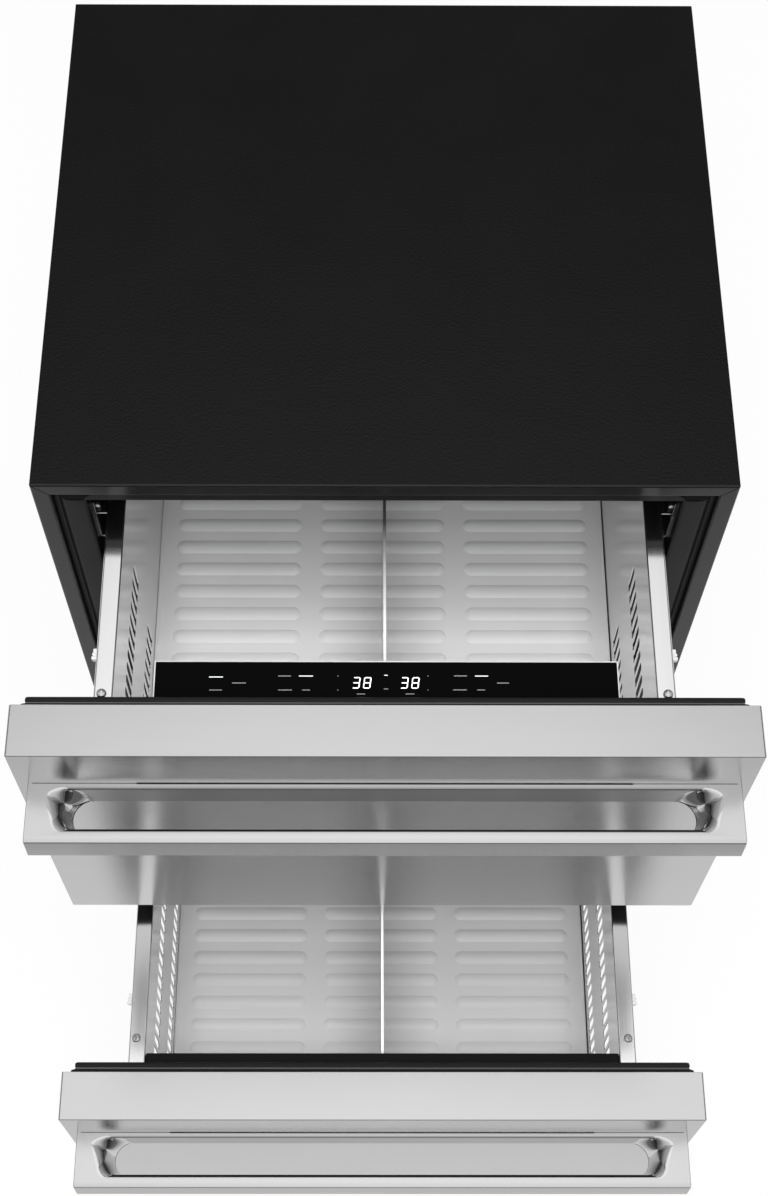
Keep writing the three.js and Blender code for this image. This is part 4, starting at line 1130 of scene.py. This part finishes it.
def front_beam(d):
    """Front wall of the box: steel inside, with a black cap."""
    low, high = d.box("front_beam")
    foot = high.z - BEAM_CAP
    wall = soft_block(d.name("front_wall"), low, (high.x, high.y - 0.4 * MM, foot), 0.8 * MM, satin_steel)
    d.mount(wall, "satin_steel")
    cap = soft_block(d.name("beam_cap"), (low.x, low.y, foot), high, 1.6 * MM, black_plastic, 4)
    d.mount(cap, "black_plastic", "front_beam")


def rim_screws(d, screw):
    for tag in ("left", "right"):
        low, high = d.box(f"rim_screw_{tag}")
        at = ((low.x + high.x) / 2, (low.y + high.y) / 2, d.rim)
        d.mount(shifted(d.name(f"pan_screw_{tag}"), screw, at), "zinc", f"rim_screw_{tag}")


# ---- control strip
SEGMENTS = {"3": "abgcd", "8": "abcdefg"}
DIGIT_W, DIGIT_H, DIGIT_PEN = mm(5.2, 9.4, 0.85)
DIGIT_LEAN = 0.12
DIGIT_AT = (-27.0, -18.0, 12.7, 21.7)      # left edges across the strip, mm
DIGIT_TEXT = "3838"
DIGIT_FOOT = 16.0                          # feet of the digits behind the front edge of the glass, mm
# plain marks: (left end across the strip, place behind the front edge of the glass, length), mm
BRIGHT_MARKS = [(-145.4, 25.8, 11.5), (-71.2, 26.8, 11.6), (74.1, 27.0, 10.8), (-0.9, 27.6, 3.0)]
DIM_MARKS = [(-126.3, 20.4, 11.6), (-144.9, 14.0, 10.6), (-88.5, 26.8, 10.7), (-88.2, 14.1, 11.5),
             (-68.5, 14.1, 6.6), (-1.3, 15.2, 3.8), (56.8, 27.1, 10.7), (55.7, 14.4, 11.5), (75.5, 14.4, 6.6),
             (92.1, 20.7, 9.9), (-23.5, 10.6, 7.0), (16.6, 10.7, 7.4), (-39.5, 26.9, 0.9), (-39.5, 14.2, 0.9),
             (34.8, 27.0, 0.9), (34.8, 14.3, 0.9)]
MARK_H = 0.78 * MM
BEZEL = 1.1 * MM                           # white line round the glass
GLASS_SUNK, GLASS_T = mm(0.15, 1.25)       # the glass, below the top of its case


def digit_bars(text, left, foot):
    """Outlines of the lit bars of one seven-segment number, as (x, y) polygons."""
    w, h, t = DIGIT_W, DIGIT_H, DIGIT_PEN
    m = h / 2
    spans = {"a": (0, h, w, h), "d": (0, 0, w, 0), "g": (0, m, w, m), "b": (w, m, w, h), "c": (w, 0, w, m),
             "e": (0, 0, 0, m), "f": (0, m, 0, h)}
    k, e = t / 2, t * 0.62       # half the pen, and the gap of each bar's end
    shapes = []
    for segment in SEGMENTS[text]:
        x0, y0, x1, y1 = spans[segment]
        level = y0 == y1
        length = x1 - x0 if level else y1 - y0
        bar = [(e - k, 0), (e, k), (length - e, k), (length - e + k, 0), (length - e, -k), (e, -k)]
        points = [(x0 + u, y0 + v) if level else (x0 - v, y0 + u) for u, v in bar]
        shapes.append([(left + x + y * DIGIT_LEAN, foot + y) for x, y in points])
    return shapes


def printed(name, shapes, z, material):
    """Thin plates with the given outlines, lying on the glass."""
    parts = [run("mark", points, "z", z + 0.01 * MM, z + 0.05 * MM, material) for points in shapes]
    return merge(name, parts)


def control_strip(d):
    """White case with a black glass window, its readouts and its marks."""
    low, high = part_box("control_housing")
    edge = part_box("control_glass")[0].y
    case = soft_block("control_case", low, high, 0.4 * MM, white_plastic)
    x0, x1, y1 = low.x + BEZEL, high.x - BEZEL, high.y - BEZEL
    carve(case, soft_block("recess", (x0 - 0.1 * MM, edge - 0.1 * MM, high.z - 1.5 * MM),
        (x1 + 0.1 * MM, y1 + 0.1 * MM, high.z + 2 * MM), 0.2 * MM, white_plastic, 2))
    mount(case, d.body, "light_grey", "control_housing")
    face = high.z - GLASS_SUNK
    glass = soft_block("control_window", (x0, edge, face - GLASS_T), (x1, y1, face), 0.25 * MM,
        black_glass)
    mount(glass, d.body, "black_glass", "control_glass")
    readouts = []
    for text, left in zip(DIGIT_TEXT, DIGIT_AT):
        readouts += digit_bars(text, left * MM, edge + DIGIT_FOOT * MM)
    mount(printed("readout_numbers", readouts, face, digit_light), d.body, "lens")
    for name, marks, finish in (("lit_marks", BRIGHT_MARKS, label_bright),
                                ("dim_marks", DIM_MARKS, label_dim)):
        shapes = [round_rect(x * MM, (x + length) * MM, edge + y * MM - MARK_H / 2,
            edge + y * MM + MARK_H / 2, 0.3 * MM, 2) for x, y, length in marks]
        mount(printed(name, shapes, face, finish), d.body, "lens")


# ---- finishes of the CAD nodes
# each finish, and the nodes whose names hold one of the words after it
NODE_FINISHES = (
    (black_paint, "cabinet_shell"), (frame_paint, "front_frame"), (foam, "insulation"),
    (galvanised, "rear_panel base_pan condenser_fan_motor"), (aluminium, "_coil"), (copper, "filter_drier"),
    (black_plastic, "toe_grille fan_blade drain_pan inner_panel front_beam"), (grey_housing, "control_board"),
    (liner_plastic, "liner evaporator_cover"), (lens, "_light"), (compressor_paint, "compressor"),
    (white_plastic, "control_housing"), (black_glass, "control_glass"), (rubber, "gasket"),
    (zinc, "evaporator_fan_motor _rail rim_screw leg_"), (front_steel, "front_skin"),
    (handle_steel, "handle"), (satin_steel, "box_walls"), (tray_finish, "tray"), (clear_acrylic, "divider"))


def finish_nodes():
    for name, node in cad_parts.items():
        finish = next(mat for mat, words in NODE_FINISHES if any(word in name for word in words.split()))
        node.data.materials.clear()
        node.data.materials.append(finish)


# ---- building
finish_nodes()
cabinet_wrapper()
face_frame()
toe_grille()
screw = pan_screw()
rear_panel(screw)
for corner in ("front_left", "front_right", "rear_left", "rear_right"):
    leg(f"levelling_leg_{corner}", f"leg_{corner}", f"{corner}_leg")

cutter = slot_cutter()
rib = pressed_rib()
ball_bm = bmesh.new()
bmesh.ops.create_icosphere(ball_bm, subdivisions=1, radius=BALL_R)
ball = add_object("ball", ball_bm, polished_steel, 180)
drawers = [Drawer(prefix) for prefix in DRAWERS]
for drawer in drawers:
    front_skin(drawer)
    inner_panel(drawer)
    gasket(drawer)
    handle(drawer)
    box_walls(drawer, cutter)
    tray(drawer, rib)
    divider(drawer)
    front_beam(drawer)
    rim_screws(drawer, screw)
    for tag, side in (("left", -1), ("right", 1)):
        cabinet_rail(drawer, tag, side)
        middle_rail(drawer, tag, side, ball)
        box_rail(drawer, tag, side)
        release_clip(drawer, tag, side)
control_strip(drawers[0])
discard(cutter, rib, ball, screw)


# ---- studio
FLOOR_SIZE = 14
FLOOR_SEEN, FLOOR_MIRRORED = 0.93, 0.78      # how white the floor looks, directly and in reflections
FLOOR_FAR, FLOOR_FAR_Y, FLOOR_NEAR_Y = 0.14, -0.93, -0.62      # mirrored level further out in front
# place, aim, size and power of each lamp
LAMPS = {"key": ((0, -0.7, 3.3), (0, -0.35, 0.5), 1.3, 58), "fill": ((0, -2.6, 3.2), (0, 0, 0.5), 1.2, 56)}
# how bright the studio is by height (sine of the elevation), behind the object and in front of it
BEHIND = ((0.0, 0.45), (0.35, 0.5), (0.62, 0.2), (0.785, 0.2), (0.865, 0.9), (0.905, 1.02), (0.93, 1.12),
          (1.0, 1.12))
IN_FRONT = ((0.0, 0.15), (0.3, 0.3), (0.55, 0.65), (0.85, 1.0), (1.0, 1.0))
SIDE_FALL, SIDE_LEAST = 2.2, 0.7             # fall of the brightness with the square of x, and its least
BLEND = 0.25                                 # half the width in y over which front and back blend


def stage_floor():
    """Pale floor: matte, and plainly pale where it is seen or mirrored."""
    mat = bpy.data.materials.new("studio_floor")
    mat.use_nodes = True
    mat.node_tree.nodes.clear()
    wire(mat.node_tree, {}, out="OutputMaterial", matte=("BsdfDiffuse", {"Color": (0.86, 0.86, 0.86, 1)}),
        lit="Emission", path="LightPath", through="Math MAXIMUM", seen=("Math MULTIPLY", {1: FLOOR_SEEN}),
        coords="TexCoord", split="SeparateXYZ",
        reach=("MapRange", {"From Min": FLOOR_FAR_Y, "From Max": FLOOR_NEAR_Y, "To Min": FLOOR_FAR - 1,
                            "To Max": FLOOR_MIRRORED - 1}),
        mirrored=("Math MULTIPLY_ADD", {2: 1}), share="Math MAXIMUM", mix="MixShader",
        links="""coords.Object > split; split.Y > reach; reach > mirrored.1; path.Is Camera Ray > through;
            path.Is Transmission Ray > through.1; through > seen; path.Is Glossy Ray > mirrored;
            seen > share; path.Is Glossy Ray > share.1; mirrored > lit.Strength; share > mix;
            matte > mix.1; lit > mix.2; mix > out""")
    bm = bmesh.new()
    bmesh.ops.create_grid(bm, x_segments=2, y_segments=2, size=FLOOR_SIZE / 2)
    add_object("studio_floor", bm, mat)


def softbox(name, at, aim, size, power):
    data = bpy.data.lights.new(name, "AREA")
    data.shape = "SQUARE"
    data.size, data.energy = size, power
    obj = bpy.data.objects.new(name, data)
    obj.location = at
    obj.rotation_mode = "QUATERNION"
    obj.rotation_quaternion = (Vector(aim) - Vector(at)).to_track_quat("-Z", "Y")
    obj.visible_glossy = False
    bpy.context.scene.collection.objects.link(obj)


def set_ramp(node, rows):
    """Grey levels along a colour ramp, as (place, level)."""
    stops = node.color_ramp.elements
    stops[0].position, stops[1].position = rows[0][0], rows[-1][0]
    for place, _ in rows[1:-1]:
        stops.new(place)
    for stop, (_, level) in zip(stops, rows):
        stop.color = (level, level, level, 1)


def studio_world():
    """A pale room, brightest overhead; white where the camera sees it."""
    world = bpy.data.worlds.new("studio")
    bpy.context.scene.world = world
    world.use_nodes = True
    tree = world.node_tree
    parts = wire(tree, {"background": tree.nodes["Background"]}, coords="TexCoord", split="SeparateXYZ",
        behind="ValToRGB", in_front="ValToRGB", side=("MapRange SMOOTHSTEP", {"From Min": -BLEND,
        "From Max": BLEND}), square="Math MULTIPLY", fall=("Math MULTIPLY_ADD", {1: -SIDE_FALL, 2: 1}),
        least=("Math MAXIMUM", {1: SIDE_LEAST}), dimmed="VectorMath SCALE", room="MixRGB",
        shown=("MixRGB", {"Color2": (1, 1, 1, 1)}), path="LightPath",
        links="""coords.Generated > split; split.Z > behind.Fac; split.Z > in_front.Fac; split.Y > side;
            side > room.Fac; in_front.Color > room.Color1; behind.Color > room.Color2; split.X > square;
            split.X > square.1; square > fall; fall > least; room.Color > dimmed; least > dimmed.Scale;
            dimmed > shown.Color1; path.Is Camera Ray > shown.Fac; shown.Color > background.Color""")
    set_ramp(parts["behind"], BEHIND)
    set_ramp(parts["in_front"], IN_FRONT)


stage_floor()
for name, lamp in LAMPS.items():
    softbox(name, *lamp)
studio_world()
bpy.context.scene.view_settings.view_transform = "Standard"
